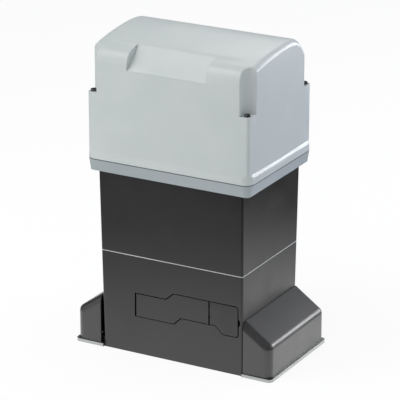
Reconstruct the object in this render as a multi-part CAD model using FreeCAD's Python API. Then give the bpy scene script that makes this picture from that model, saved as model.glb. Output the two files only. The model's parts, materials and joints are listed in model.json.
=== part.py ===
import FreeCAD, Part
import math
import os

# Sliding gate motor. Millimetres. X is the width, -Y the front with the release lever,
# +Y the gate side with the pinion, Z up from the foundation.

# Castings of the column
column_half_width = 96.8
width_draft = 0.50
depth_draft = 1.20
column_corner_radius = 2.5
joint_rise = 63.6
gasket_thickness = 1.0
lower_wall = 7.8
upper_wall = 5.0
front_wall_depth = 23.0
rear_pad_rise = 5.0

# Foot flanges and foundation slots
foot_reach = 40.7
foot_front_reach = 2.5
foot_back_reach = 8.5
flange_thickness = 4.0
pad_height = 11.0
pad_inset = 7.0
foot_corner_radius = 6.0
slot_inset_x = 19.5
slot_inset_y = 13.0
slot_radius = 5.5
slot_length = 22.0
foot_rib_y = 22.0
foot_rib_thickness = 5.0
foot_rib_height = 52.0

# Worm gear
gear_module = 2.5
wheel_teeth = 30
worm_pitch_radius = 12.5
wheel_face_width = 18.0
wheel_side_gap = 5.0
gear_backlash = 0.35
worm_length = 44.0
worm_relief = 3.0
pressure_angle = 20.0

# Output shaft, along Y
axis_z = 65.0
shaft_radius = 12.5
front_journal_radius = 10.0
rear_journal_radius = 15.0
collar_radius = 18.0
collar_width = 8.0
front_bearing_width = 12.0
front_bearing_radius = 21.0
front_bearing_gap = 2.5
rear_bearing_width = 16.0
rear_bearing_radius = 31.0
race_share = 0.28
shield_plate = 1.0
shield_plate_drop = 0.4
running_clearance = 0.08
free_gap = 0.3

# Clutch
hub_radius = 17.0
hub_flange_thickness = 5.0
hub_tail = 7.0
disc_radius = 29.0
disc_thickness = 3.0
plate_radius = 32.0
plate_thickness = 4.5
spring_thickness = 1.2
spring_height = 2.2
spring_radius = 26.0
nut_radius = 24.0
nut_thickness = 10.1
nut_setback = 0.5
nut_slots = 6
nut_slot_width = 5.0
nut_slot_depth = 2.5

# Release dog and its rod
dog_thickness = 6.7
dog_radius = 19.0
dog_tooth = 3.0
dog_tooth_width = 7.8
dog_tooth_gap = 0.4
dog_tooth_floor_gap = 0.5
dog_pin_setback = 3.4
dog_pin_radius = 2.5
dog_pin_end_gap = 0.5
rod_radius = 4.0
rod_tail = 4.0
rod_head_radius = 6.0
rod_head_thickness = 2.5
rod_head_room = 1.5
bushing_radius = 7.0
bushing_length = 3.8
dog_spring_room = 11.0
dog_spring_width = 2.0
dog_spring_wire = 1.4
dog_spring_turns = 3
dog_spring_end_gap = 0.1

# Rack pinion at the gate side
pinion_module = 4.0
pinion_teeth = 16
pinion_gap = 2.0
pinion_width = 27.0
pinion_recess_radius = 15.0
pinion_recess_depth = 8.0
pinion_bolt_radius = 4.0
pinion_bolt_length = 16.0
pinion_bolt_flats = 13.0
pinion_bolt_head = 5.0
pinion_washer_gap = 1.5
pinion_washer_thickness = 2.0
key_width = 8.0
key_depth = 4.0
key_stand = 3.0

# Rear bearing cover
rear_cover_room = 8.0
rear_spigot_wall = 10.5
rear_spigot_length = 13.0
cover_plate_margin = 7.5
cover_plate_radius = 8.0
cover_plate_thickness = 6.0
cover_plate_screw_inset = 8.0
cover_plate_screw_radius = 2.5
cover_plate_screw_depth = 10.0
cover_plate_screw_head = 4.5
shaft_seal_width = 8.5
shaft_seal_wall = 2.5
shaft_seal_drop = 0.5
shaft_seal_seat = 2.0

# Gear chamber and cable passage in the lower casting
chamber_front_gap = 1.0
chamber_floor = 10.0
chamber_roof = 12.6
chamber_corner_radius = 6.0
boss_wall = 4.5
inner_wall = 10.0
cable_bay_wall = 6.8
cable_bay_front_reach = 4.0
cable_bay_back_reach = 7.0
cable_slot_width = 18.0
cable_slot_length = 82.0
cable_slot_tie_gap = 9.0
cable_slot_radius = 4.0
oil_plug_radius = 7.0
oil_plug_gap = 11.0
oil_plug_head = 3.5
oil_plug_head_rim = 1.5
oil_boss_wall = 3.8
oil_boss_drop = 1.5
oil_filler_drop = 10.0
oil_drain_rise = 14.0

# Motor
low_bearing_lift = 2.5
low_bearing_width = 11.0
low_bearing_radius = 17.5
low_journal_radius = 7.5
mid_bearing_width = 14.0
mid_bearing_radius = 23.5
mid_journal_radius = 10.0
worm_seal_room = 10.6
worm_seal_drop = 2.0
top_bearing_drop = 4.0
top_bearing_width = 12.0
top_bearing_radius = 20.0
top_journal_radius = 8.5
top_bearing_cap = 1.5
stator_radius = 55.0
stator_bore_radius = 32.5
stator_height = 56.0
stator_slots = 24
stator_slot_width = 4.0
stator_back_iron = 11.5
winding_height = 13.0
winding_edge_radius = 4.0
winding_floor_gap = 3.9
winding_bore_gap = 1.0
winding_rim_gap = 5.0
slot_wedge = 2.0
rotor_clearance = 0.5
rotor_ring_height = 4.0
rotor_ring_width = 12.0
sleeve_wall = 6.0
sleeve_head_room = 5.0
sleeve_drop = 7.4
shield_thickness = 6.0
shield_screws = 4
shield_screw_radius = 1.6
shield_screw_depth = 10.0
motor_floor = 5.5
motor_eye_gap = 2.5
motor_web_thickness = 5.0
motor_web_drop = 14.0
cable_wall_thickness = 7.0
earth_screw_inset = 14.0
earth_screw_radius = 2.0
earth_screw_depth = 5.0

# Tie screws between the castings
tie_inset_x = 12.8
tie_inset_y = 10.0
tie_radius = 3.0
tie_depth = 11.0
tie_post_radius = 7.5
tie_head_drop = 8.0
tie_head_height = 6.0
tie_head_radius = 5.0

# Release lever in the front face; its heights are measured from the output axis
lever_stand = 1.8
lever_thickness = 11.3
lever_heel = 5.3
lever_drop = 14.6
lever_step_drop = 5.2
lever_mid_rise = 14.6
lever_top_rise = 23.9
low_step_reach = 46.9
low_step_run = 9.4
top_step_reach = 36.4
top_step_run = 10.6
flap_side_gap = 5.7
flap_length = 39.5
flap_step_reach = 30.0
flap_step_run = 9.8
lever_gap = 1.2
pocket_gap = 1.9
hinge_depth = 6.3
hinge_pin_seat = 5.0
cam_radius = 6.5
cam_offset = 3.0
cam_clearance = 0.2
lever_pin_radius = 2.5
flap_thickness = 4.0
flap_corner_radius = 3.0
flap_pin_radius = 1.0
flap_barrel_radius = 2.0
flap_gap = 0.5
tongue_inset = 1.0
knuckle_rise = 4.0
knuckle_length = 11.0
finger_notch_radius = 7.2
finger_notch_reach = 2.2
finger_notch_rise = 4.0
lock_inset = 13.1
lock_rise = 5.0
lock_radius = 8.0
lock_plug_radius = 5.5
lock_reach = 5.5
lock_plug_stand = 0.2
lock_cam_thickness = 2.5
lock_cam_reach = 13.0
lock_cam_width = 7.0
lock_cam_room = 2.0
keyhole_width = 1.6
keyhole_height = 7.0
keyhole_depth = 8.0

# Ring under the cover
ring_height = 15.2
ring_overhang_x = 10.2
ring_overhang_y = 5.1
ring_low_radius = 6.0
ring_wall = 3.0
ring_flare_x = 3.3
ring_flare_y = 2.75
seam_radius = 12.0
seam_wall = 5.2
seal_width = 2.0
seal_depth = 1.6
seal_slack = 0.1
ring_screw_inset = 20.8
ring_screw_radius = 1.5
ring_screw_depth = 9.0

# Cover
cover_setback_x = 2.6
cover_setback_y = 1.95
cover_corner_radius = 4.5
roof_end_radius = 8.0
cover_wall = 2.6
cover_gap = 0.4
lip_height = 8.0
lip_blend = 4.0
hood_height = 152.0
roof_ridge_y = 8.0
roof_front_drop = 13.5
roof_back_drop = 12.5
front_shoulder_radius = 24.0
rear_shoulder_radius = 42.0
flute_radius = 12.2
flute_in_x = 0.9
flute_in_y = 5.4
flute_rim_radius = 1.4
ledge_drop = 69.0
badge_left = -55.0
badge_right = 52.0
badge_low_drop = 36.5
badge_depth = 26.8
badge_top_drop = 7.9
cover_screw_in_x = 5.7
cover_screw_in_y = 6.2
cover_screw_radius = 1.6
cover_screw_head_radius = 3.8
cover_screw_head_height = 3.0
cover_screw_length = 15.0
pillar_radius = 2.8

# Foot covers
foot_cover_end_inset = 2.3
foot_cover_front_inset = 1.6
foot_cover_back_inset = 2.0
foot_cover_left_gap = 4.5
foot_cover_right_gap = 1.1
foot_cover_top_z = 71.0
foot_cover_end_z = 44.0
foot_cover_crest_radius = 9.0
foot_cover_edge_radius = 9.0
foot_cover_wall = 2.5

# Electrics on a tray under the cover
tray_lift = 25.6
tray_inset_x = 6.0
tray_inset_y = 13.0
tray_wall = 2.5
tray_rim = 9.0
tray_radius = 6.0
tray_leg_inset_x = 4.0
tray_leg_inset_y = 26.0
tray_leg_radius = 4.0
cable_hole_radius = 7.5
cable_hole_inset = 13.0
board_lift = 6.0
board_thickness = 1.6
board_margin = 9.0
board_margin_y = 8.0
board_gap = 5.0
stud_inset = 6.0
stud_radius = 3.0
chip_size = 14.0
chip_height = 3.0
chip_pitch = 26.0
chip_row_y = -5.0
fuse_inset = 10.0
fuse_length = 24.0
fuse_radius = 3.0
fuse_y = -26.0
transformer_length = 44.0
transformer_width = 36.0
transformer_height = 36.0
transformer_margin = 4.0
transformer_y = 30.0
coil_inset = 8.0
coil_stand = 6.0
relay_inset = 10.0
relay_length = 20.0
relay_width = 16.0
relay_height = 20.0
relay_gap = 6.0
relay_row_y = 42.0
terminal_inset = 6.0
terminal_pitch = 6.0
terminal_width = 12.0
terminal_height = 12.0
terminal_mouth = 3.6
terminal_mouth_depth = 5.0
terminal_gap = 8.0
terminal_row_inset = 4.0
capacitor_radius = 19.0
capacitor_length = 86.0
capacitor_gap = 1.5
capacitor_tag_width = 6.0
capacitor_tag_length = 8.0
capacitor_tag_offset = 7.0
clip_thickness = 1.2
clip_width = 16.0
sensor_length = 44.0
sensor_depth = 6.0
sensor_height = 12.0

x_axis = FreeCAD.Vector(1, 0, 0)
y_axis = FreeCAD.Vector(0, 1, 0)
z_axis = FreeCAD.Vector(0, 0, 1)

# Along the output shaft, from the front bearing to the pinion
half_face = wheel_face_width / 2
clutch_plate_y = -half_face - disc_thickness - plate_thickness
nut_back_y = clutch_plate_y - 2 * spring_height
hub_front_y = nut_back_y - nut_thickness - nut_setback
hub_back_y = half_face + disc_thickness + hub_flange_thickness + hub_tail
front_bearing_back = hub_front_y - front_bearing_gap
front_bearing_y = front_bearing_back - front_bearing_width
bushing_front_y = front_bearing_y - free_gap - bushing_length
dog_front_y = hub_back_y + free_gap
dog_back_y = dog_front_y + dog_thickness
dog_pin_y = dog_front_y + dog_pin_setback
collar_front_y = dog_back_y + dog_spring_room
rear_bearing_y = collar_front_y + collar_width
rear_bearing_back = rear_bearing_y + rear_bearing_width

# The column is as deep as the shaft needs at its front or at its back
rear_pad_y = max(rear_bearing_back + rear_cover_room, front_wall_depth - front_bearing_y + rear_pad_rise)
column_half_depth = rear_pad_y - rear_pad_rise
cover_plate_back = rear_pad_y + cover_plate_thickness
pinion_front_y = cover_plate_back + pinion_gap
pinion_back_y = pinion_front_y + pinion_width
washer_seat_y = pinion_back_y - pinion_recess_depth
rear_opening_radius = rear_bearing_radius + rear_spigot_wall
cover_plate_half = rear_opening_radius + cover_plate_margin
cover_plate_screw_offset = cover_plate_half - cover_plate_screw_inset
shaft_seal_radius = rear_journal_radius + shaft_seal_width

# Axes of the gear
wheel_pitch_radius = gear_module * wheel_teeth / 2
wheel_tip_radius = wheel_pitch_radius + gear_module
worm_tip_radius = worm_pitch_radius + gear_module
worm_root_radius = worm_pitch_radius - 1.2 * gear_module
axis_x = wheel_tip_radius + wheel_side_gap + lower_wall - column_half_width
motor_x = axis_x + wheel_pitch_radius + worm_pitch_radius
worm_low = axis_z - worm_length / 2
worm_high = axis_z + worm_length / 2

# Heights of the column, from the foot to the ring
joint_height = axis_z + joint_rise
upper_bottom = joint_height + gasket_thickness
low_bearing_z = chamber_floor + low_bearing_lift
mid_bearing_z = joint_height - worm_seal_room - mid_bearing_width
stator_bottom = upper_bottom + motor_floor + winding_floor_gap + winding_height
stator_top = stator_bottom + stator_height
sleeve_top = stator_top + winding_height + sleeve_head_room
top_bearing_z = sleeve_top - top_bearing_drop
column_top = sleeve_top + sleeve_drop
ring_floor = column_top + ring_wall
ring_top = column_top + ring_height
cover_bottom = ring_top + cover_gap

# Feet
foot_half_width = column_half_width + foot_reach
foot_front_y = -column_half_depth - foot_front_reach
foot_back_y = column_half_depth + foot_back_reach
slot_x = foot_half_width - slot_inset_x
slot_y = column_half_depth - slot_inset_y
foot_cover_end = foot_half_width - foot_cover_end_inset
foot_cover_front_y = foot_front_y + foot_cover_front_inset
foot_cover_back_y = foot_back_y - foot_cover_back_inset
foot_cover_left_x = -column_half_width - foot_cover_left_gap
foot_cover_right_x = column_half_width + foot_cover_right_gap

# Rooms and screws inside the castings
tie_x = column_half_width - tie_inset_x
tie_y = column_half_depth - tie_inset_y
motor_eye_radius = mid_bearing_radius + motor_eye_gap
chamber_right = motor_x + low_bearing_radius + boss_wall
chamber_front = front_bearing_y - chamber_front_gap
chamber_back = rear_pad_y - rear_spigot_length
chamber_top = joint_height - chamber_roof
cable_bay_left = chamber_right + inner_wall
cable_bay_right = column_half_width - cable_bay_wall
cable_slot_left = cable_bay_right - cable_slot_width
cable_slot_back = tie_y - cable_slot_tie_gap
cable_slot_front = cable_slot_back - cable_slot_length
oil_plug_x = axis_x + cover_plate_half + oil_plug_gap
oil_boss_y = rear_pad_y - oil_boss_drop
oil_plug_heights = [chamber_top - oil_filler_drop, chamber_floor + oil_drain_rise]

# Release lever
hinge_x = axis_x
lever_face_y = -column_half_depth - lever_stand
lever_back_y = lever_face_y + lever_thickness
pocket_floor_y = lever_back_y + pocket_gap
hinge_y = lever_face_y + hinge_depth
lock_back_y = lever_back_y + lock_reach
lever_left = hinge_x - lever_heel
lever_low = axis_z - lever_drop
lever_step = axis_z - lever_step_drop
lever_mid_top = axis_z + lever_mid_rise
lever_top = axis_z + lever_top_rise
low_step_x = hinge_x + low_step_reach
top_step_x = hinge_x + top_step_reach
flap_right = column_half_width - flap_side_gap
flap_split = flap_right - flap_length
flap_step_x = flap_right - flap_step_reach
lock_x = flap_right - lock_inset
lock_z = axis_z + lock_rise
knuckle_x = flap_split + flap_barrel_radius + flap_gap
knuckle_y = lever_face_y + flap_barrel_radius
knuckle_low = axis_z + knuckle_rise
knuckle_high = knuckle_low + knuckle_length
tongue_front_y = lever_face_y + flap_thickness + flap_gap
cam_side = cam_offset / math.sqrt(2)
cam_travel = 2 * cam_side
rod_head_y = hinge_y + cam_radius - cam_side + cam_clearance
heel_reach = math.hypot(lever_heel, hinge_depth) + lever_gap
hinge_cavity_radius = max(heel_reach, cam_offset + cam_radius + cam_clearance)


def half_width_at(z):
    return column_half_width + z * math.tan(math.radians(width_draft))


def half_depth_at(z):
    return column_half_depth + z * math.tan(math.radians(depth_draft))


# Ring and cover
ring_low_half_x = half_width_at(column_top) + ring_overhang_x
ring_low_half_y = half_depth_at(column_top) + ring_overhang_y
seam_half_x = ring_low_half_x + ring_flare_x
seam_half_y = ring_low_half_y + ring_flare_y
ring_screw_x = column_half_width - ring_screw_inset
cover_half_x = seam_half_x - cover_setback_x
cover_half_y = seam_half_y - cover_setback_y
roof_ridge = cover_bottom + hood_height
roof_front = roof_ridge - roof_front_drop
roof_back = roof_ridge - roof_back_drop
ledge_height = roof_ridge - ledge_drop
ledge_under = ledge_height - cover_wall
badge_low_z = roof_ridge - badge_low_drop
badge_top_y = badge_depth - cover_half_y
badge_top_z = roof_ridge - badge_top_drop
cover_screw_x = cover_half_x - cover_screw_in_x
cover_screw_y = cover_half_y - cover_screw_in_y

# Tray and board
tray_z = ring_floor + tray_lift
tray_floor = tray_z + tray_wall
tray_half_x = ring_low_half_x - tray_inset_x
tray_half_y = ring_low_half_y - tray_inset_y
capacitor_x = tray_half_x - tray_wall - capacitor_gap - capacitor_radius
capacitor_z = tray_floor + capacitor_radius
board_z = tray_floor + board_lift
board_top = board_z + board_thickness
board_left = board_margin - tray_half_x
board_right = capacitor_x - capacitor_radius - board_gap
board_half_y = tray_half_y - board_margin_y
core_right = board_right - transformer_margin
core_left = core_right - transformer_length
relay_left = board_left + relay_inset
relay_pitch = relay_length + relay_gap
relay_count = int((core_left - relay_left) / relay_pitch)
terminal_ways = int((board_right - board_left - 2 * terminal_inset - terminal_gap) / (2 * terminal_pitch))


def point(x, y, z):
    return FreeCAD.Vector(x, y, z)


def block(x0, x1, y0, y1, z0, z1):
    return Part.makeBox(x1 - x0, y1 - y0, z1 - z0, point(x0, y0, z0))


def rod_x(y, z, x0, x1, radius):
    return Part.makeCylinder(radius, x1 - x0, point(x0, y, z), x_axis)


def rod_y(x, z, y0, y1, radius):
    return Part.makeCylinder(radius, y1 - y0, point(x, y0, z), y_axis)


def rod_z(x, y, z0, z1, radius):
    return Part.makeCylinder(radius, z1 - z0, point(x, y, z0), z_axis)


def output_ring(y0, y1, outer, inner):
    """Ring about the output axis."""
    return rod_y(axis_x, axis_z, y0, y1, outer).cut(rod_y(axis_x, axis_z, y0 - 1, y1 + 1, inner))


def motor_ring(z0, z1, outer, inner):
    """Ring about the motor axis."""
    return rod_z(motor_x, 0, z0, z1, outer).cut(rod_z(motor_x, 0, z0 - 1, z1 + 1, inner))


def join(shapes):
    body = shapes[0].multiFuse(shapes[1:])
    return body.removeSplitter()


def cut_all(body, tools):
    for tool in tools:
        body = body.cut(tool)
    return body


def middle(edge):
    return edge.valueAt((edge.FirstParameter + edge.LastParameter) / 2)


def edges_at(body, test):
    """Edges whose middle point passes the test."""
    return [edge for edge in body.Edges if test(middle(edge))]


def edges_along(body, axis, test):
    """Straight edges parallel to an axis whose middle point passes the test."""
    found = []
    for edge in body.Edges:
        if edge.Curve.TypeId != "Part::GeomLine":
            continue
        if edge.tangentAt(edge.FirstParameter).cross(axis).Length < 1e-6 and test(middle(edge)):
            found.append(edge)
    return found


def anywhere(place):
    return True


def rounded_block(x0, x1, y0, y1, z0, z1, radius):
    body = block(x0, x1, y0, y1, z0, z1)
    return body.makeFillet(radius, edges_along(body, z_axis, anywhere))


def level_rectangle(half_x, half_y, z, radius):
    """Wire of a level rectangle with rounded corners."""
    body = rounded_block(-half_x, half_x, -half_y, half_y, z, z + 1, radius)
    lowest = min(body.Faces, key=lambda face: face.CenterOfMass.z)
    return lowest.OuterWire


def tapered_block(low, high):
    """Solid between two level rectangles, each half_x, half_y, z and corner radius."""
    return Part.makeLoft([level_rectangle(*low), level_rectangle(*high)], True, True)


def outline_face(corners):
    return Part.Face(Part.makePolygon(corners + corners[:1]))


def prism_xz(corners, y0, y1):
    """Outline of (x, z) corners, carried along Y."""
    return outline_face([point(x, y0, z) for x, z in corners]).extrude(point(0, y1 - y0, 0))


def prism_yz(corners, x0, x1):
    """Outline of (y, z) corners, carried along X."""
    return outline_face([point(x0, y, z) for y, z in corners]).extrude(point(x1 - x0, 0, 0))


def hexagon(half_flats):
    reach = half_flats / math.cos(math.radians(30))
    angles = [math.radians(60 * i) for i in range(6)]
    return [(reach * math.cos(angle), reach * math.sin(angle)) for angle in angles]


def hexagon_y(x, z, y0, y1, half_flats):
    return prism_xz([(x + a, z + b) for a, b in hexagon(half_flats)], y0, y1)


def hexagon_z(x, y, z0, z1, half_flats):
    corners = [point(x + a, y + b, z0) for a, b in hexagon(half_flats)]
    return outline_face(corners).extrude(point(0, 0, z1 - z0))


def four_corners(x, y):
    return [(sx * x, sy * y) for sx in (-1, 1) for sy in (-1, 1)]


def save(node, shapes):
    """Write one node; a list of shapes is a group of separate solids."""
    group = shapes if isinstance(shapes, list) else [shapes]
    solids = [solid for shape in group for solid in shape.Solids]
    result = solids[0] if len(solids) == 1 else Part.makeCompound(solids)
    result.exportStep("parts/" + node + ".step")
    note = "" if result.isValid() else "not valid"
    print(node, len(solids), round(sum(solid.Volume for solid in solids)), note)


def column_section(z, inset=0.0):
    radius = max(column_corner_radius - inset, 1.0)
    return half_width_at(z) - inset, half_depth_at(z) - inset, z, radius


# Gears

def involute_point(base_radius, radius, turn):
    roll = math.sqrt(max((radius / base_radius) ** 2 - 1, 0))
    angle = roll - math.atan(roll) + turn
    return radius * math.cos(angle), radius * math.sin(angle)


def tooth_outline(module, teeth, backlash):
    """Corners of one tooth that points along +X, from root to root."""
    pitch_radius = module * teeth / 2
    base_radius = pitch_radius * math.cos(math.radians(pressure_angle))
    tip_radius = pitch_radius + module
    root_radius = pitch_radius - 1.25 * module
    start_radius = max(base_radius, root_radius)
    steps = [start_radius + (tip_radius - start_radius) * i / 4 for i in range(5)]
    roll = math.tan(math.radians(pressure_angle))
    half_tooth = math.pi / (2 * teeth) - backlash / (2 * pitch_radius)
    turn = -half_tooth - (roll - math.radians(pressure_angle))
    flank = [involute_point(base_radius, radius, turn) for radius in steps]
    foot = math.atan2(flank[0][1], flank[0][0])
    side = [(root_radius * math.cos(foot), root_radius * math.sin(foot))] + flank
    return side + [(a, -b) for a, b in reversed(side)]


def gear_wire(module, teeth, backlash, y, turn):
    """Outline of a gear about the output axis, with a tooth space at the turn angle."""
    tooth = tooth_outline(module, teeth, backlash)
    corners = []
    for index in range(teeth):
        angle = 2 * math.pi * (index + 0.5) / teeth + turn
        for a, b in tooth:
            x = a * math.cos(angle) - b * math.sin(angle)
            z = a * math.sin(angle) + b * math.cos(angle)
            corners.append(point(axis_x + x, y, axis_z + z))
    return Part.makePolygon(corners + corners[:1])


def make_worm_wheel():
    """Bronze wheel whose teeth lean with the worm's thread."""
    half = half_face
    lean = half * gear_module / (2 * worm_pitch_radius) / wheel_pitch_radius
    wires = [gear_wire(gear_module, wheel_teeth, gear_backlash, -half, lean),
             gear_wire(gear_module, wheel_teeth, gear_backlash, half, -lean)]
    body = Part.makeLoft(wires, True, True)
    return body.cut(rod_y(axis_x, axis_z, -half - 1, half + 1, hub_radius))


def make_worm_shaft():
    """Motor shaft with the worm cut on its lower end."""
    lead = math.pi * gear_module
    start = worm_low - lead
    phase = (axis_z - lead / 2 - start) % lead
    turns = math.ceil(worm_length / lead) + 2
    helix = Part.makeHelix(lead, turns * lead, worm_pitch_radius)
    slope = math.tan(math.radians(pressure_angle))
    half_pitch = lead / 4 - gear_backlash / 2
    inner = worm_root_radius - 0.3
    half_in = half_pitch + (worm_pitch_radius - inner) * slope
    half_out = half_pitch - gear_module * slope
    corners = [point(inner, 0, -half_in), point(worm_tip_radius, 0, -half_out),
               point(worm_tip_radius, 0, half_out), point(inner, 0, half_in)]
    profile = Part.makePolygon(corners + corners[:1])
    thread = Part.Wire(helix).makePipeShell([profile], True, True)
    thread.translate(point(motor_x, 0, start + phase))
    thread = thread.common(rod_z(motor_x, 0, worm_low, worm_high, worm_tip_radius + 1))
    steps = [(low_bearing_z, low_bearing_z + low_bearing_width, low_journal_radius),
             (low_bearing_z + low_bearing_width, worm_high + worm_relief, worm_root_radius),
             (worm_high + worm_relief, mid_bearing_z, worm_root_radius + 2),
             (mid_bearing_z, top_bearing_z, mid_journal_radius),
             (top_bearing_z, top_bearing_z + top_bearing_width + 1, top_journal_radius)]
    return join([thread] + [rod_z(motor_x, 0, z0, z1, radius) for z0, z1, radius in steps])


def bearing_races(ring, low, width, inner_radius, outer_radius):
    """Outer race with its two shields, and inner race, of a sealed ball bearing."""
    high = low + width
    band = (outer_radius - inner_radius) * race_share
    outer = ring(low, high, outer_radius, outer_radius - band)
    reach = inner_radius + band + free_gap
    shields = [ring(z, z + shield_plate, outer_radius - band, reach)
               for z in (low + shield_plate_drop, high - shield_plate_drop - shield_plate)]
    return join([outer] + shields), ring(low, high, inner_radius + band, inner_radius)


def motor_bearings():
    places = [(low_bearing_z, low_bearing_width, low_journal_radius, low_bearing_radius),
              (mid_bearing_z, mid_bearing_width, mid_journal_radius, mid_bearing_radius),
              (top_bearing_z, top_bearing_width, top_journal_radius, top_bearing_radius)]
    return [bearing_races(motor_ring, *place) for place in places]


def output_bearings():
    places = [(front_bearing_y, front_bearing_width, front_journal_radius, front_bearing_radius),
              (rear_bearing_y, rear_bearing_width, rear_journal_radius, rear_bearing_radius)]
    return [bearing_races(output_ring, *place) for place in places]


# Lower casting

def foundation_slots():
    slots = []
    reach = slot_length / 2 - slot_radius
    for x, y in four_corners(slot_x, slot_y):
        ends = [rod_z(x + side * reach, y, -1, pad_height + 1, slot_radius) for side in (-1, 1)]
        between = block(x - reach, x + reach, y - slot_radius, y + slot_radius, -1, pad_height + 1)
        slots.append(join(ends + [between]))
    return slots


def make_feet():
    """Foot flanges with their raised pads and ribs; nothing stands in front of the column."""
    flange = rounded_block(-foot_half_width, foot_half_width, foot_front_y, foot_back_y,
                           0, flange_thickness, foot_corner_radius)
    pad = rounded_block(-foot_half_width + pad_inset, foot_half_width - pad_inset,
                        foot_front_y + pad_inset, foot_back_y - pad_inset, 0, pad_height, foot_corner_radius)
    notch = block(-column_half_width, column_half_width, foot_front_y - 1, -column_half_depth,
                  -1, flange_thickness + 1)
    ribs = []
    for side in (-1, 1):
        inner = side * (column_half_width - 2)
        outer = side * (foot_half_width - 2 * pad_inset)
        for y in (-foot_rib_y, foot_rib_y):
            outline = [(inner, pad_height - 1), (outer, pad_height - 1), (inner, foot_rib_height)]
            ribs.append(prism_xz(outline, y - foot_rib_thickness / 2, y + foot_rib_thickness / 2))
    return [flange.cut(notch), pad] + ribs


def cover_plate(y0, y1):
    """Square with rounded corners about the output axis."""
    body = block(axis_x - cover_plate_half, axis_x + cover_plate_half, y0, y1,
                 axis_z - cover_plate_half, axis_z + cover_plate_half)
    return body.makeFillet(cover_plate_radius, edges_along(body, y_axis, anywhere))


def gear_chamber():
    """Oil-filled room of the worm gear, with bosses left standing for the bearings."""
    room = rounded_block(-column_half_width + lower_wall, chamber_right, chamber_front, chamber_back,
                         chamber_floor, chamber_top, chamber_corner_radius)
    bosses = [rod_y(axis_x, axis_z, chamber_front - 1, front_bearing_back, front_bearing_radius + boss_wall),
              rod_z(motor_x, 0, chamber_floor - 1, low_bearing_z + low_bearing_width,
                    low_bearing_radius + boss_wall),
              rod_z(motor_x, 0, mid_bearing_z - 1.5, chamber_top + 1, mid_bearing_radius + boss_wall)]
    return cut_all(room, bosses)


def bearing_seats():
    return [rod_y(axis_x, axis_z, front_bearing_y, front_bearing_back + 1, front_bearing_radius),
            rod_y(axis_x, axis_z, bushing_front_y, front_bearing_y + 1, bushing_radius),
            rod_y(axis_x, axis_z, lever_face_y, bushing_front_y, rod_head_radius + rod_head_room),
            rod_y(axis_x, axis_z, chamber_back - 1, rear_pad_y + 1, rear_opening_radius),
            rod_z(motor_x, 0, low_bearing_z, low_bearing_z + low_bearing_width + 1, low_bearing_radius),
            rod_z(motor_x, 0, mid_bearing_z - 3, mid_bearing_z + 1, worm_tip_radius + 1),
            rod_z(motor_x, 0, mid_bearing_z, joint_height + 1, mid_bearing_radius)]


def cable_slot(z0, z1):
    return rounded_block(cable_slot_left, cable_bay_right, cable_slot_front, cable_slot_back, z0, z1,
                         cable_slot_radius)


def cable_bay():
    """Room over the conduits, open below, with a slot up to the electrics."""
    bay = rounded_block(cable_bay_left, cable_bay_right, cable_slot_front - cable_bay_front_reach,
                        cable_slot_back + cable_bay_back_reach, -1, chamber_top, chamber_corner_radius)
    return bay.fuse(cable_slot(chamber_top - 1, joint_height + 1))


def oil_plug_shanks(y1):
    return [rod_y(oil_plug_x, z, chamber_back - 1, y1, oil_plug_radius) for z in oil_plug_heights]


def tie_shanks(top):
    return [rod_z(x, y, joint_height - tie_depth, top, tie_radius) for x, y in four_corners(tie_x, tie_y)]


def cover_plate_shanks():
    shanks = []
    for dx, dz in four_corners(cover_plate_screw_offset, cover_plate_screw_offset):
        shanks.append(rod_y(axis_x + dx, axis_z + dz, rear_pad_y - cover_plate_screw_depth, cover_plate_back,
                            cover_plate_screw_radius))
    return shanks


def make_gearbox_housing():
    column = tapered_block(column_section(0), column_section(joint_height))
    rear_pad = cover_plate(0, rear_pad_y)
    boss_radius = oil_plug_radius + oil_boss_wall
    oil_bosses = [rod_y(oil_plug_x, z, 0, oil_boss_y, boss_radius) for z in oil_plug_heights]
    body = join([column, rear_pad] + oil_bosses + make_feet())
    tools = [gear_chamber(), cable_bay()] + foundation_slots() + bearing_seats() + lever_pocket()
    tools += oil_plug_shanks(rear_pad_y) + tie_shanks(joint_height + 1) + cover_plate_shanks()
    return cut_all(body, tools)


def make_oil_plugs():
    plugs = []
    head_half = oil_plug_radius + oil_plug_head_rim
    for shank, z in zip(oil_plug_shanks(oil_boss_y), oil_plug_heights):
        head = hexagon_y(oil_plug_x, z, oil_boss_y, oil_boss_y + oil_plug_head, head_half)
        plugs.append(join([shank, head]))
    return plugs


# Release lever, its pocket and the lock

def lever_outline(grow):
    """Outline of lever and key flap together, grown by a gap all round."""
    slant = grow * math.tan(math.radians(22.5))
    return [(lever_left - grow, lever_low - grow), (low_step_x + slant, lever_low - grow),
            (low_step_x + low_step_run + slant, lever_step - grow), (flap_step_x - slant, lever_step - grow),
            (flap_step_x + flap_step_run - slant, lever_low - grow), (flap_right + grow, lever_low - grow),
            (flap_right + grow, lever_top + grow), (top_step_x + top_step_run - slant, lever_top + grow),
            (top_step_x - slant, lever_mid_top + grow), (lever_left - grow, lever_mid_top + grow)]


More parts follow.
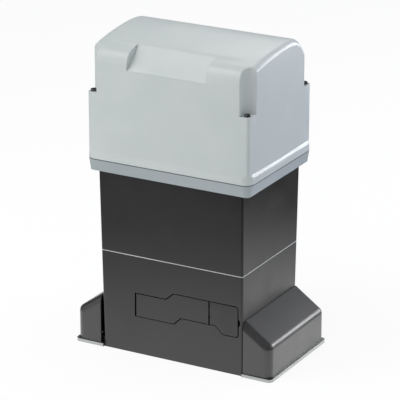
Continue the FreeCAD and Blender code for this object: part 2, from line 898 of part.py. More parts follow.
def lever_pocket():
    front_y = -half_depth_at(lever_top) - 2
    pocket = prism_xz(lever_outline(lever_gap), front_y, pocket_floor_y)
    corners = edges_along(pocket, y_axis, lambda place: place.x > flap_right)
    pocket = pocket.makeFillet(flap_corner_radius + lever_gap, corners)
    low = lever_low - lever_gap
    high = lever_mid_top + lever_gap
    recess_floor = lock_back_y + lock_cam_thickness + lock_cam_room
    groove_reach = lock_cam_reach + lever_gap
    notch_x = flap_right + lever_gap + finger_notch_reach - finger_notch_radius
    return [pocket,
            rod_z(hinge_x, hinge_y, low, high, hinge_cavity_radius),
            rod_z(hinge_x, hinge_y, low - hinge_pin_seat, high + hinge_pin_seat, lever_pin_radius),
            rod_y(notch_x, axis_z + finger_notch_rise, front_y, lever_back_y, finger_notch_radius),
            rod_y(lock_x, lock_z, pocket_floor_y - 1, recess_floor, lock_radius + 2),
            rod_y(lock_x, lock_z, lock_back_y - 0.3, recess_floor, groove_reach),
            block(lock_x - groove_reach, lock_x, pocket_floor_y - 1, recess_floor,
                  lock_z - lock_cam_width / 2 - 1, lock_z + lock_cam_width / 2 + 1)]


def make_lever_hub(body):
    """Trim the pivot end round the rod's head and leave the eccentric cam there."""
    low = axis_z - rod_head_radius - rod_head_room
    high = axis_z + rod_head_radius + rod_head_room
    right = hinge_x + rod_head_radius + lever_gap
    relief = block(lever_left - 1, right, lever_face_y - 1, lever_back_y + 1, low, high)
    cam = rod_z(hinge_x - cam_side, hinge_y - cam_side, low, high, cam_radius)
    cam_back = hinge_y + cam_radius
    cam = cam.common(block(lever_left - cam_radius, right, hinge_y - cam_side - 0.4, cam_back, low, high))
    neck = block(hinge_x, right, lever_face_y, hinge_y + 3, low, high)
    skin = block(lever_left, hinge_x + 1, lever_face_y, hinge_y - cam_side, low, high)
    return join([body.cut(relief), cam, neck, skin])


def make_release_lever():
    corners = lever_outline(0.0)
    arm_right = flap_split - flap_gap
    arm = [corners[0], corners[1], corners[2], (arm_right, lever_step), (arm_right, lever_top)] + corners[7:]
    low = lever_low + tongue_inset
    high = lever_top - tongue_inset
    right = flap_right - 2 * tongue_inset
    tongue = [(arm_right - 1, lever_step), (flap_step_x, lever_step), (flap_step_x + flap_step_run, low),
              (right, low), (right, high), (arm_right - 1, high)]
    body = join([prism_xz(arm, lever_face_y, lever_back_y), prism_xz(tongue, tongue_front_y, lever_back_y)])
    body = make_lever_hub(body)
    groove = rod_z(knuckle_x, knuckle_y, lever_step, lever_top, flap_barrel_radius + free_gap)
    knuckle = join([rod_z(knuckle_x, knuckle_y, knuckle_low, knuckle_high, flap_barrel_radius),
                    block(arm_right - 1, knuckle_x, knuckle_y, lever_back_y, knuckle_low, knuckle_high)])
    body = join([body.cut(groove), knuckle])
    return cut_all(body, [rod_z(hinge_x, hinge_y, 0, joint_height, lever_pin_radius + running_clearance),
                          rod_y(lock_x, lock_z, lever_face_y, lock_back_y, lock_radius),
                          rod_z(knuckle_x, knuckle_y, 0, joint_height, flap_pin_radius)])


def make_lever_pin():
    return rod_z(hinge_x, hinge_y, lever_low - lever_gap - hinge_pin_seat,
                 lever_mid_top + lever_gap + hinge_pin_seat, lever_pin_radius)


def make_key_flap():
    outline = [(knuckle_x, lever_step), (flap_step_x, lever_step), (flap_step_x + flap_step_run, lever_low),
               (flap_right, lever_low), (flap_right, lever_top), (knuckle_x, lever_top)]
    plate = prism_xz(outline, lever_face_y, lever_face_y + flap_thickness)
    corners = edges_along(plate, y_axis, lambda place: place.x > flap_right - 0.1)
    plate = plate.makeFillet(flap_corner_radius, corners)
    body = join([plate, rod_z(knuckle_x, knuckle_y, lever_step, lever_top, flap_barrel_radius)])
    return cut_all(body, [rod_z(knuckle_x, knuckle_y, knuckle_low - free_gap, knuckle_high + free_gap,
                                flap_barrel_radius + free_gap),
                          rod_z(knuckle_x, knuckle_y, 0, joint_height, flap_pin_radius + running_clearance)])


def make_flap_pin():
    return rod_z(knuckle_x, knuckle_y, lever_step + flap_gap, lever_top - flap_gap, flap_pin_radius)


def make_lock():
    """Barrel fixed in the lever, the plug that the key turns, and the cam on its back."""
    barrel = rod_y(lock_x, lock_z, tongue_front_y, lock_back_y, lock_radius)
    barrel = barrel.cut(rod_y(lock_x, lock_z, tongue_front_y - 1, 0, lock_plug_radius + running_clearance))
    plug = rod_y(lock_x, lock_z, tongue_front_y, lock_back_y + lock_plug_stand, lock_plug_radius)
    keyhole = block(lock_x - keyhole_width / 2, lock_x + keyhole_width / 2, tongue_front_y - 1,
                    tongue_front_y + keyhole_depth, lock_z - keyhole_height / 2, lock_z + keyhole_height / 2)
    half = lock_cam_width / 2
    back = lock_back_y + lock_plug_stand
    cam = block(lock_x - lock_cam_reach, lock_x + half, back, back + lock_cam_thickness,
                lock_z - half, lock_z + half)
    return barrel, plug.cut(keyhole), cam


# Output shaft and what is on it

def key_block():
    return block(axis_x - key_width / 2, axis_x + key_width / 2, pinion_front_y + 1, washer_seat_y - 2,
                 axis_z + shaft_radius - key_depth, axis_z + shaft_radius + key_stand)


def make_output_shaft():
    steps = [(front_bearing_y, front_bearing_back, front_journal_radius),
             (front_bearing_back, collar_front_y, shaft_radius),
             (collar_front_y, rear_bearing_y, collar_radius),
             (rear_bearing_y, pinion_front_y, rear_journal_radius),
             (pinion_front_y, washer_seat_y - 0.5, shaft_radius)]
    body = join([rod_y(axis_x, axis_z, y0, y1, radius) for y0, y1, radius in steps])
    bore_end = dog_pin_y + cam_travel + rod_tail + 1
    bore = rod_y(axis_x, axis_z, front_bearing_y - 1, bore_end, rod_radius + running_clearance)
    slot_half = dog_pin_radius + running_clearance
    slot = block(axis_x - shaft_radius - 1, axis_x + shaft_radius + 1, dog_pin_y - dog_pin_radius - free_gap,
                 dog_pin_y + cam_travel + dog_pin_radius + free_gap, axis_z - slot_half, axis_z + slot_half)
    hole_end = washer_seat_y - pinion_bolt_length - 1
    bolt_hole = rod_y(axis_x, axis_z, hole_end, washer_seat_y, pinion_bolt_radius)
    return cut_all(body, [bore, slot, bolt_hole, key_block()])


def make_pinion():
    ends = (pinion_front_y, pinion_back_y)
    wires = [gear_wire(pinion_module, pinion_teeth, free_gap, y, 0.0) for y in ends]
    body = Part.makeLoft(wires, True, True)
    return cut_all(body, [rod_y(axis_x, axis_z, pinion_front_y - 1, pinion_back_y + 1, shaft_radius),
                          rod_y(axis_x, axis_z, washer_seat_y, pinion_back_y + 1, pinion_recess_radius),
                          key_block()])


def make_pinion_fixing():
    """Washer and hexagon bolt in the recess of the pinion."""
    face = washer_seat_y + pinion_washer_thickness
    washer = output_ring(washer_seat_y, face, pinion_recess_radius - pinion_washer_gap, pinion_bolt_radius)
    shank = rod_y(axis_x, axis_z, washer_seat_y - pinion_bolt_length, face, pinion_bolt_radius)
    head = hexagon_y(axis_x, axis_z, face, face + pinion_bolt_head, pinion_bolt_flats / 2)
    return washer, join([shank, head])


def make_bearing_cover():
    plate = cover_plate(rear_pad_y, cover_plate_back)
    spigot = rod_y(axis_x, axis_z, chamber_back - 1, rear_pad_y, rear_opening_radius)
    hub = rod_y(axis_x, axis_z, rear_bearing_y, rear_pad_y, rear_bearing_radius + boss_wall)
    body = join([plate, spigot, hub])
    tools = [rod_y(axis_x, axis_z, rear_bearing_y - 1, rear_bearing_back, rear_bearing_radius),
             rod_y(axis_x, axis_z, rear_bearing_back - 1, cover_plate_back + 1, rear_journal_radius + 2),
             rod_y(axis_x, axis_z, rear_pad_y - shaft_seal_seat, cover_plate_back + 1, shaft_seal_radius)]
    return cut_all(body, tools + cover_plate_shanks())


def make_bearing_cover_screws():
    screws = []
    for shank in cover_plate_shanks():
        x = shank.BoundBox.Center.x
        z = shank.BoundBox.Center.z
        top = cover_plate_back + cover_plate_screw_head
        head = rod_y(x, z, cover_plate_back, top, 1.7 * cover_plate_screw_radius)
        socket = hexagon_y(x, z, top - cover_plate_screw_radius, top + 1, 0.8 * cover_plate_screw_radius)
        screws.append(join([shank, head]).cut(socket))
    return screws


def make_shaft_seal():
    face = cover_plate_back - shaft_seal_drop
    inside = shaft_seal_radius - shaft_seal_wall
    outer = output_ring(rear_pad_y - shaft_seal_seat, face, shaft_seal_radius, inside)
    web = output_ring(face - 1.5, face, inside, rear_journal_radius + running_clearance)
    return join([outer, web])


def coned_ring(y, rise):
    """Coned spring washer that touches the plane y with its rim."""
    sign = math.copysign(1.0, rise)
    inner = hub_radius + free_gap
    corners = [point(axis_x + spring_radius, y, axis_z),
               point(axis_x + spring_radius, y + sign * spring_thickness, axis_z),
               point(axis_x + inner, y + rise, axis_z),
               point(axis_x + inner, y + rise - sign * spring_thickness, axis_z)]
    return outline_face(corners).revolve(point(axis_x, 0, axis_z), y_axis, 360)


def make_clutch():
    """Hub, friction discs, pressure plate, coned springs and adjusting nut."""
    flange_y = half_face + disc_thickness
    flange = output_ring(flange_y, flange_y + hub_flange_thickness, plate_radius, hub_radius)
    hub = join([output_ring(hub_front_y, hub_back_y, hub_radius, shaft_radius + running_clearance), flange])
    slot_half = dog_tooth_width / 2 + dog_tooth_gap
    slot_floor_y = hub_back_y - dog_tooth - dog_tooth_floor_gap
    hub = hub.cut(block(axis_x - hub_radius - 1, axis_x + hub_radius + 1, slot_floor_y, hub_back_y + 1,
                        axis_z - slot_half, axis_z + slot_half))
    discs = [output_ring(y, y + disc_thickness, disc_radius, hub_radius)
             for y in (clutch_plate_y + plate_thickness, half_face)]
    plate = output_ring(clutch_plate_y, clutch_plate_y + plate_thickness, plate_radius, hub_radius)
    springs = [coned_ring(clutch_plate_y, -spring_height), coned_ring(nut_back_y, spring_height)]
    nut = output_ring(hub_front_y + nut_setback, nut_back_y, nut_radius, hub_radius)
    for i in range(nut_slots):
        slot = block(axis_x + nut_radius - nut_slot_depth, axis_x + nut_radius + 1, hub_front_y,
                     nut_back_y + 1, axis_z - nut_slot_width / 2, axis_z + nut_slot_width / 2)
        slot.rotate(point(axis_x, 0, axis_z), y_axis, 360 / nut_slots * i)
        nut = nut.cut(slot)
    return hub, discs, plate, springs, nut


def make_release():
    """Dog ring, its cross pin, and the rod that the lever's cam pushes."""
    ring = output_ring(dog_front_y, dog_back_y, dog_radius, shaft_radius + running_clearance)
    inner = shaft_radius + 2 * free_gap
    outer = hub_radius - free_gap
    dogs = [block(axis_x + x, axis_x + x + outer - inner, dog_front_y - dog_tooth, dog_front_y + 1,
                  axis_z - dog_tooth_width / 2, axis_z + dog_tooth_width / 2) for x in (-outer, inner)]
    pin_reach = dog_radius - dog_pin_end_gap
    pin = rod_x(dog_pin_y, axis_z, axis_x - pin_reach, axis_x + pin_reach, dog_pin_radius)
    rod = rod_y(axis_x, axis_z, rod_head_y, dog_pin_y + rod_tail, rod_radius)
    head = rod_y(axis_x, axis_z, rod_head_y, rod_head_y + rod_head_thickness, rod_head_radius)
    return join([ring] + dogs).cut(pin), pin, join([rod, head]).cut(pin)


def make_dog_spring():
    """Flat wire coil spring between the dog and the collar of the shaft."""
    mean = (shaft_radius + collar_radius) / 2
    low = dog_back_y + dog_spring_wire / 2 + dog_spring_end_gap
    high = collar_front_y - dog_spring_wire / 2 - dog_spring_end_gap
    helix = Part.makeHelix((high - low) / dog_spring_turns, high - low, mean)
    half_width = dog_spring_width / 2
    half_wire = dog_spring_wire / 2
    signs = ((-1, -1), (1, -1), (1, 1), (-1, 1))
    corners = [point(mean + a * half_width, 0, b * half_wire) for a, b in signs]
    section = Part.makePolygon(corners + corners[:1])
    spring = Part.Wire(helix).makePipeShell([section], True, True)
    spring.rotate(point(0, 0, 0), x_axis, -90)
    spring.translate(point(axis_x, low, axis_z))
    return spring


# Motor

def stator_slot_bars(inner, outer):
    bars = []
    for i in range(stator_slots):
        bar = block(motor_x + inner, motor_x + outer, -stator_slot_width / 2, stator_slot_width / 2,
                    stator_bottom, stator_top)
        bar.rotate(point(motor_x, 0, 0), z_axis, 360 * i / stator_slots)
        bars.append(bar)
    return bars


def make_stator():
    core = motor_ring(stator_bottom, stator_top, stator_radius, stator_bore_radius)
    return cut_all(core, stator_slot_bars(stator_bore_radius - 1, stator_radius - stator_back_iron))


def make_windings():
    """Coil ends at both ends of the stator, with the coil sides in its slots."""
    rings = []
    outer = stator_radius - winding_rim_gap
    inner = stator_bore_radius + winding_bore_gap
    edge_radius = min(winding_edge_radius, 0.45 * (outer - inner))
    for z0, free_z in ((stator_bottom - winding_height, stator_bottom - winding_height),
                       (stator_top, stator_top + winding_height)):
        ring = motor_ring(z0, z0 + winding_height, outer, inner)
        ends = [edge for edge in ring.Edges if edge.Closed and abs(middle(edge).z - free_z) < 0.01]
        rings.append(ring.makeFillet(edge_radius, ends))
    coil_sides = stator_slot_bars(stator_bore_radius + slot_wedge, stator_radius - stator_back_iron)
    return join(rings + coil_sides)


def make_rotor():
    radius = stator_bore_radius - rotor_clearance
    core = motor_ring(stator_bottom, stator_top, radius, mid_journal_radius)
    rim = radius - 2
    ends = [motor_ring(z0, z0 + rotor_ring_height, rim, rim - rotor_ring_width)
            for z0 in (stator_bottom - rotor_ring_height, stator_top)]
    return join([core] + ends)


def end_shield_shanks():
    shanks = []
    reach = stator_radius + sleeve_wall / 2
    for i in range(shield_screws):
        angle = 2 * math.pi * (i + 0.5) / shield_screws
        x = motor_x + reach * math.cos(angle)
        y = reach * math.sin(angle)
        shanks.append(rod_z(x, y, sleeve_top - shield_screw_depth, sleeve_top + shield_thickness,
                            shield_screw_radius))
    return shanks


def make_end_shield():
    top = top_bearing_z + top_bearing_width + 2 * top_bearing_cap
    disc = rod_z(motor_x, 0, sleeve_top, sleeve_top + shield_thickness, stator_radius + sleeve_wall)
    hub = rod_z(motor_x, 0, top_bearing_z - 1, top, top_bearing_radius + boss_wall)
    seat = rod_z(motor_x, 0, top_bearing_z - 2, top_bearing_z + top_bearing_width, top_bearing_radius)
    room = rod_z(motor_x, 0, top_bearing_z, top - top_bearing_cap, top_journal_radius + 2)
    return cut_all(join([disc, hub]), [seat, room, earth_hole()] + end_shield_shanks())


def headed_screws(shanks, face, height, radius):
    """Upright screws: each shank gets a round head on the face."""
    screws = []
    for shank in shanks:
        centre = shank.BoundBox.Center
        screws.append(join([shank, rod_z(centre.x, centre.y, face, face + height, radius)]))
    return screws


# Upper casting and the joint between the castings

def make_motor_housing():
    outer = tapered_block(column_section(upper_bottom), column_section(column_top))
    floor = upper_bottom + motor_floor
    inside = tapered_block(column_section(floor, upper_wall), column_section(column_top + 1, upper_wall))
    sleeve = rod_z(motor_x, 0, upper_bottom, sleeve_top, stator_radius + sleeve_wall)
    posts = [rod_z(x, y, upper_bottom, column_top - tie_head_drop, tie_post_radius)
             for x, y in four_corners(tie_x, tie_y)]
    reach = half_width_at(upper_bottom) - upper_wall + 1
    web = block(-reach, motor_x, -motor_web_thickness / 2, motor_web_thickness / 2, upper_bottom,
                sleeve_top - motor_web_drop)
    deep = half_depth_at(upper_bottom) - upper_wall + 1
    cable_wall = block(cable_slot_left - cable_wall_thickness, cable_slot_left, -deep, deep,
                       upper_bottom, stator_top)
    body = outer.cut(cut_all(inside, [sleeve, web, cable_wall] + posts))
    bore = rod_z(motor_x, 0, floor, sleeve_top + 1, stator_radius)
    eye = rod_z(motor_x, 0, upper_bottom - 1, floor + 1, motor_eye_radius)
    return cut_all(body, [bore, eye, cable_slot(upper_bottom - 1, floor + 1)] + tie_shanks(column_top)
                   + end_shield_shanks() + ring_screw_shanks())


def make_gasket():
    body = tapered_block(column_section(joint_height), column_section(upper_bottom))
    eye = rod_z(motor_x, 0, joint_height - 1, upper_bottom + 1, motor_eye_radius)
    return cut_all(body, [eye, cable_slot(joint_height - 1, upper_bottom + 1)] + tie_shanks(column_top))


def make_tie_screws():
    face = column_top - tie_head_drop
    screws = []
    top = face + tie_head_height
    for screw in headed_screws(tie_shanks(face), face, tie_head_height, tie_head_radius):
        centre = screw.BoundBox.Center
        socket = hexagon_z(centre.x, centre.y, top - tie_radius, top + 1, tie_head_radius / 2)
        screws.append(screw.cut(socket))
    return screws


# Ring under the cover and what stands on it

def ring_screw_shanks():
    y = half_depth_at(column_top) - upper_wall / 2
    return [rod_z(sx, sy, column_top - ring_screw_depth, ring_floor, ring_screw_radius)
            for sx, sy in four_corners(ring_screw_x, y)]


def pillar_rods(z0, z1):
    return [rod_z(x, y, z0, z1, pillar_radius) for x, y in four_corners(cover_screw_x, cover_screw_y)]


def seal_band(z0, z1, slack):
    """Flat band that runs round the seam."""
    out = seam_wall / 2 - seal_width / 2 + slack
    rise = seal_width - 2 * slack
    outer = level_rectangle(seam_half_x - out, seam_half_y - out, z0, seam_radius - out)
    inner = level_rectangle(seam_half_x - out - rise, seam_half_y - out - rise, z0, seam_radius - out - rise)
    return Part.Face([outer, inner]).extrude(point(0, 0, z1 - z0))


def make_cover_ring():
    outer = tapered_block((ring_low_half_x, ring_low_half_y, column_top, ring_low_radius),
                          (seam_half_x, seam_half_y, ring_top, seam_radius))
    low_radius = ring_low_radius - ring_wall
    inner_low = (ring_low_half_x - ring_wall, ring_low_half_y - ring_wall, ring_floor, low_radius)
    inner_high = (seam_half_x - seam_wall, seam_half_y - seam_wall, ring_top + 1, seam_radius - seam_wall)
    hx, hy, _, _ = column_section(column_top, upper_wall)
    opening = rounded_block(-hx, hx, -hy, hy, column_top - 1, ring_floor + 1, low_radius)
    groove = seal_band(ring_top - seal_depth, ring_top + 1, 0.0)
    tools = [tapered_block(inner_low, inner_high), opening, groove]
    return cut_all(outer, tools + ring_screw_shanks() + pillar_rods(column_top + 1, ring_top + 1))


def make_cover_pillars():
    top = ledge_under - free_gap
    pillars = []
    for rod in pillar_rods(column_top + 1, top):
        centre = rod.BoundBox.Center
        pillars.append(rod.cut(rod_z(centre.x, centre.y, top - cover_screw_length, top + 1,
                                     cover_screw_radius + 0.12)))
    return pillars


# Cover

def roof_form(inset, bottom):
    """Hood with an arched roof, rounded shoulders and rounded ends, drawn in by an inset."""
    half_x = cover_half_x - inset
    half_y = cover_half_y - inset
    front = point(-half_x, -half_y, roof_front - inset)
    ridge = point(-half_x, roof_ridge_y, roof_ridge - inset)
    back = point(-half_x, half_y, roof_back - inset)
    low_front = point(-half_x, -half_y, bottom)
    low_back = point(-half_x, half_y, bottom)
    outline = Part.Wire([Part.Arc(front, ridge, back).toShape(), Part.makeLine(back, low_back),
                         Part.makeLine(low_back, low_front), Part.makeLine(low_front, front)])
    body = Part.Face(outline).extrude(point(2 * half_x, 0, 0))
    for side, radius in ((-1, front_shoulder_radius), (1, rear_shoulder_radius)):
        tops = edges_along(body, x_axis,
                           lambda place: place.z > bottom + 1 and place.y * side > half_y - 0.01)
        body = body.makeFillet(radius - inset, tops)
    rim = edges_at(body, lambda place: abs(abs(place.x) - half_x) < 0.01 and place.z > bottom + 1)
    body = body.makeFillet(roof_end_radius - inset, rim)
    # The upright corners are tighter; the flutes take the step between the two radii away
    corners = rounded_block(-half_x, half_x, -half_y, half_y, bottom, ledge_height + lip_blend,
                            cover_corner_radius - inset)
    return body.fuse(corners)


def flute_rods(radius, z0):
    places = four_corners(cover_half_x - flute_in_x, cover_half_y - flute_in_y)
    return [rod_z(x, y, z0, roof_ridge + 5, radius) for x, y in places]


def on_flute_rim(place):
    """True on a rim of a flute, above the ledge under it."""
    if place.z < ledge_height + 0.1:
        return False
    flute_x = cover_half_x - flute_in_x
    flute_y = cover_half_y - flute_in_y
    return abs(math.hypot(abs(place.x) - flute_x, abs(place.y) - flute_y) - flute_radius) < 0.02


def badge_wedge(inset):
    """Leaves a flat facet across the front shoulder, in from its surface by an inset."""
    run = badge_top_y + cover_half_y
    rise = badge_top_z - badge_low_z
    length = math.hypot(run, rise)
    along = (run / length, rise / length)
    inward = (along[1], -along[0])
    low = (-cover_half_y - 10 * along[0] + inset * inward[0], badge_low_z - 10 * along[1] + inset * inward[1])
    high = (badge_top_y + 10 * along[0] + inset * inward[0], badge_top_z + 10 * along[1] + inset * inward[1])
    outline = [low, high, (high[0] - length * inward[0], high[1] - length * inward[1]),
               (low[0] - length * inward[0], low[1] - length * inward[1])]
    return prism_yz(outline, badge_left - inset, badge_right + inset)


def make_top_cover():
    lip_top = cover_bottom + lip_height
    seam = (seam_half_x, seam_half_y, cover_bottom, seam_radius)
    brow = (seam_half_x - 0.3, seam_half_y - 0.3, lip_top, seam_radius)
    lip = tapered_block(seam, brow)
    foot = (cover_half_x - 0.05, cover_half_y - 0.05, lip_top + lip_blend, cover_corner_radius)
    blend = tapered_block(brow, foot)
    body = join([roof_form(0.0, cover_bottom), lip, blend])
    body = cut_all(body, flute_rods(flute_radius, ledge_height))
    body = body.makeFillet(flute_rim_radius, edges_at(body, on_flute_rim)).cut(badge_wedge(0.0))
    flutes = flute_rods(flute_radius + cover_wall, ledge_under)
    inside = cut_all(roof_form(cover_wall, cover_bottom - 1), flutes + [badge_wedge(cover_wall)])
    holes = [rod_z(x, y, ledge_under - 1, ledge_height + 1, cover_screw_radius)
             for x, y in four_corners(cover_screw_x, cover_screw_y)]
    return cut_all(body, [inside] + holes)


def make_cover_screws():
    screws = []
    for x, y in four_corners(cover_screw_x, cover_screw_y):
        shank = rod_z(x, y, ledge_height - cover_screw_length, ledge_height, cover_screw_radius)
        top = ledge_height + cover_screw_head_height
        head = rod_z(x, y, ledge_height, top, cover_screw_head_radius)
        rim = [edge for edge in head.Edges if edge.Closed and abs(middle(edge).z - top) < 0.01]
        head = head.makeFillet(1.2, rim)
        arm = 0.75 * cover_screw_head_radius
        cross = [block(x - arm, x + arm, y - 0.5, y + 0.5, top - 1.4, top + 1),
                 block(x - 0.5, x + 0.5, y - arm, y + arm, top - 1.4, top + 1)]
        screws.append(cut_all(join([shank, head]), cross))
    return screws


# Foot covers

def foot_cover_form(side, inner_x, inset):
    """Sloping hood over a foot, drawn in by an inset; open below and at the column."""
    end = side * (foot_cover_end - inset)
    slope = (foot_cover_top_z - foot_cover_end_z) / (foot_reach - foot_cover_end_inset)
    drop = inset * math.hypot(1, slope)
    reach = inner_x - side * (1 if inset else 0)
    low = flange_thickness - (1 if inset else 0)
    top_at_end = foot_cover_end_z - drop + slope * inset
    top_at_column = top_at_end + slope * abs(end - reach)
    body = prism_xz([(reach, low), (end, low), (end, top_at_end), (reach, top_at_column)],
                    foot_cover_front_y + inset, foot_cover_back_y - inset)
    crest = edges_along(body, y_axis, lambda place: abs(place.x - end) < 0.01 and place.z > low + 1)
    body = body.makeFillet(foot_cover_crest_radius - inset, crest)
    front = foot_cover_front_y + inset
    back = foot_cover_back_y - inset
    rims = edges_at(body, lambda place: (abs(place.y - front) < 0.01 or abs(place.y - back) < 0.01)
                    and place.z > low + 0.1 and abs(place.x - reach) > 0.1)
    return body.makeFillet(foot_cover_edge_radius - inset, rims)


def make_foot_cover(side, inner_x):
    return foot_cover_form(side, inner_x, 0.0).cut(foot_cover_form(side, inner_x, foot_cover_wall))


# Electrics

def board_corners():
    return [(x, y) for x in (board_left + stud_inset, board_right - stud_inset)
            for y in (stud_inset - board_half_y, board_half_y - stud_inset)]


def make_board_tray():
    rim_z = tray_z + tray_rim
    outer = rounded_block(-tray_half_x, tray_half_x, -tray_half_y, tray_half_y, tray_z, rim_z, tray_radius)
    hx = tray_half_x - tray_wall
    hy = tray_half_y - tray_wall
    inner = rounded_block(-hx, hx, -hy, hy, tray_floor, rim_z + 1, tray_radius - tray_wall)
    leg_places = four_corners(tray_half_x - tray_leg_inset_x, tray_half_y - tray_leg_inset_y)
    legs = [rod_z(x, y, ring_floor, tray_z + 1, tray_leg_radius) for x, y in leg_places]
    studs = [rod_z(x, y, tray_z, board_z, stud_radius) for x, y in board_corners()]
    cable_hole = rod_z(cable_slot_left + cable_slot_width / 2, cable_hole_inset - tray_half_y, tray_z - 1,
                       tray_floor + 1, cable_hole_radius)
    return join([outer.cut(inner)] + legs + studs).cut(cable_hole)


def make_control_board():
    """Board with its three chips and the fuse in its holder."""
    board = block(board_left, board_right, -board_half_y, board_half_y, board_z, board_top)
    centre = (board_left + board_right) / 2
    chips = []
    for i in (-1, 0, 1):
        x = centre + i * chip_pitch - chip_size / 2
        chips.append(block(x, x + chip_size, chip_row_y - chip_size / 2, chip_row_y + chip_size / 2,
                           board_top, board_top + chip_height))
    fuse_left = board_left + fuse_inset
    fuse_z = board_top + fuse_radius + 1
    fuse = rod_x(fuse_y, fuse_z, fuse_left, fuse_left + fuse_length, fuse_radius)
    holder = block(fuse_left, fuse_left + fuse_length, fuse_y - fuse_radius, fuse_y + fuse_radius,
                   board_top, fuse_z)
    return join([board, fuse, holder] + chips)


def make_transformer():
    """Laminated core with its coil through the middle."""
    half = transformer_width / 2
    top = board_top + transformer_height
    core = block(core_left, core_right, transformer_y - half, transformer_y + half, board_top, top)
    out = half + coil_stand
    coil = rounded_block(core_left + coil_inset, core_right - coil_inset, transformer_y - out,
                         transformer_y + out, board_top + coil_inset, top - coil_inset, coil_inset / 2)
    return join([core, coil])


def make_relays():
    half = relay_width / 2
    return [rounded_block(x, x + relay_length, relay_row_y - half, relay_row_y + half, board_top,
                          board_top + relay_height, 1.0)
            for x in [relay_left + relay_pitch * i for i in range(relay_count)]]


def make_terminal_blocks():
    """Two strips of screw terminals, each with a mouth over every clamp."""
    front = terminal_row_inset - board_half_y
    top = board_top + terminal_height
    strip_length = terminal_ways * terminal_pitch
    strips = []
    third = terminal_width / 3
    first_left = board_left + terminal_inset
    for left in (first_left, first_left + strip_length + terminal_gap):
        strip = block(left, left + strip_length, front, front + terminal_width, board_top, top)
        for i in range(terminal_ways):
            x = left + terminal_pitch * (i + 0.5)
            mouth = block(x - terminal_mouth / 2, x + terminal_mouth / 2, front + third, front + 2 * third,
                          top - terminal_mouth_depth, top + 1)
            strip = strip.cut(mouth)
        strips.append(strip)
    return strips


def make_capacitor():
    half = capacitor_length / 2
    can = rod_y(capacitor_x, capacitor_z, -half, half, capacitor_radius)
    rims = [edge for edge in can.Edges if edge.Closed]
    can = can.makeFillet(2.0, rims)
    tags = []
    for side in (-1, 1):
        x = capacitor_x + side * capacitor_tag_offset
        tags.append(block(x - capacitor_tag_width / 2, x + capacitor_tag_width / 2, half - 1,
                          half + capacitor_tag_length, capacitor_z - 0.4, capacitor_z + 0.4))
    return join([can] + tags)


def make_capacitor_clip():
    """Strap over the capacitor that stands on the tray at both sides."""
    outer = capacitor_radius + clip_thickness
    half = clip_width / 2
    strap = rod_y(capacitor_x, capacitor_z, -half, half, outer)
    sides = block(capacitor_x - outer, capacitor_x + outer, -half, half, tray_floor, capacitor_z)
    room = block(capacitor_x - capacitor_radius, capacitor_x + capacitor_radius, -half - 1, half + 1,
                 tray_z, capacitor_z)
    return cut_all(join([strap, sides]), [room, rod_y(capacitor_x, capacitor_z, -half - 1, half + 1,
                                                      capacitor_radius)])


def make_limit_sensor():
    y = ring_low_half_y - ring_wall - free_gap
    case = block(axis_x - sensor_length / 2, axis_x + sensor_length / 2, y - sensor_depth, y, ring_floor,
                 ring_floor + sensor_height)
    return case.makeFillet(1.0, edges_along(case, z_axis, anywhere))


def earth_hole():
    face = sleeve_top + shield_thickness
    x = motor_x - stator_radius + earth_screw_inset
    return rod_z(x, 0, face - earth_screw_depth, face, earth_screw_radius)


def make_earth_screw():
    """Screw with its washer on the end shield."""
    face = sleeve_top + shield_thickness
    shank = earth_hole()
    x = shank.BoundBox.Center.x
    return join([shank, rod_z(x, 0, face, face + 1, 2.5 * earth_screw_radius),
                 rod_z(x, 0, face + 1, face + 4, 1.75 * earth_screw_radius)])


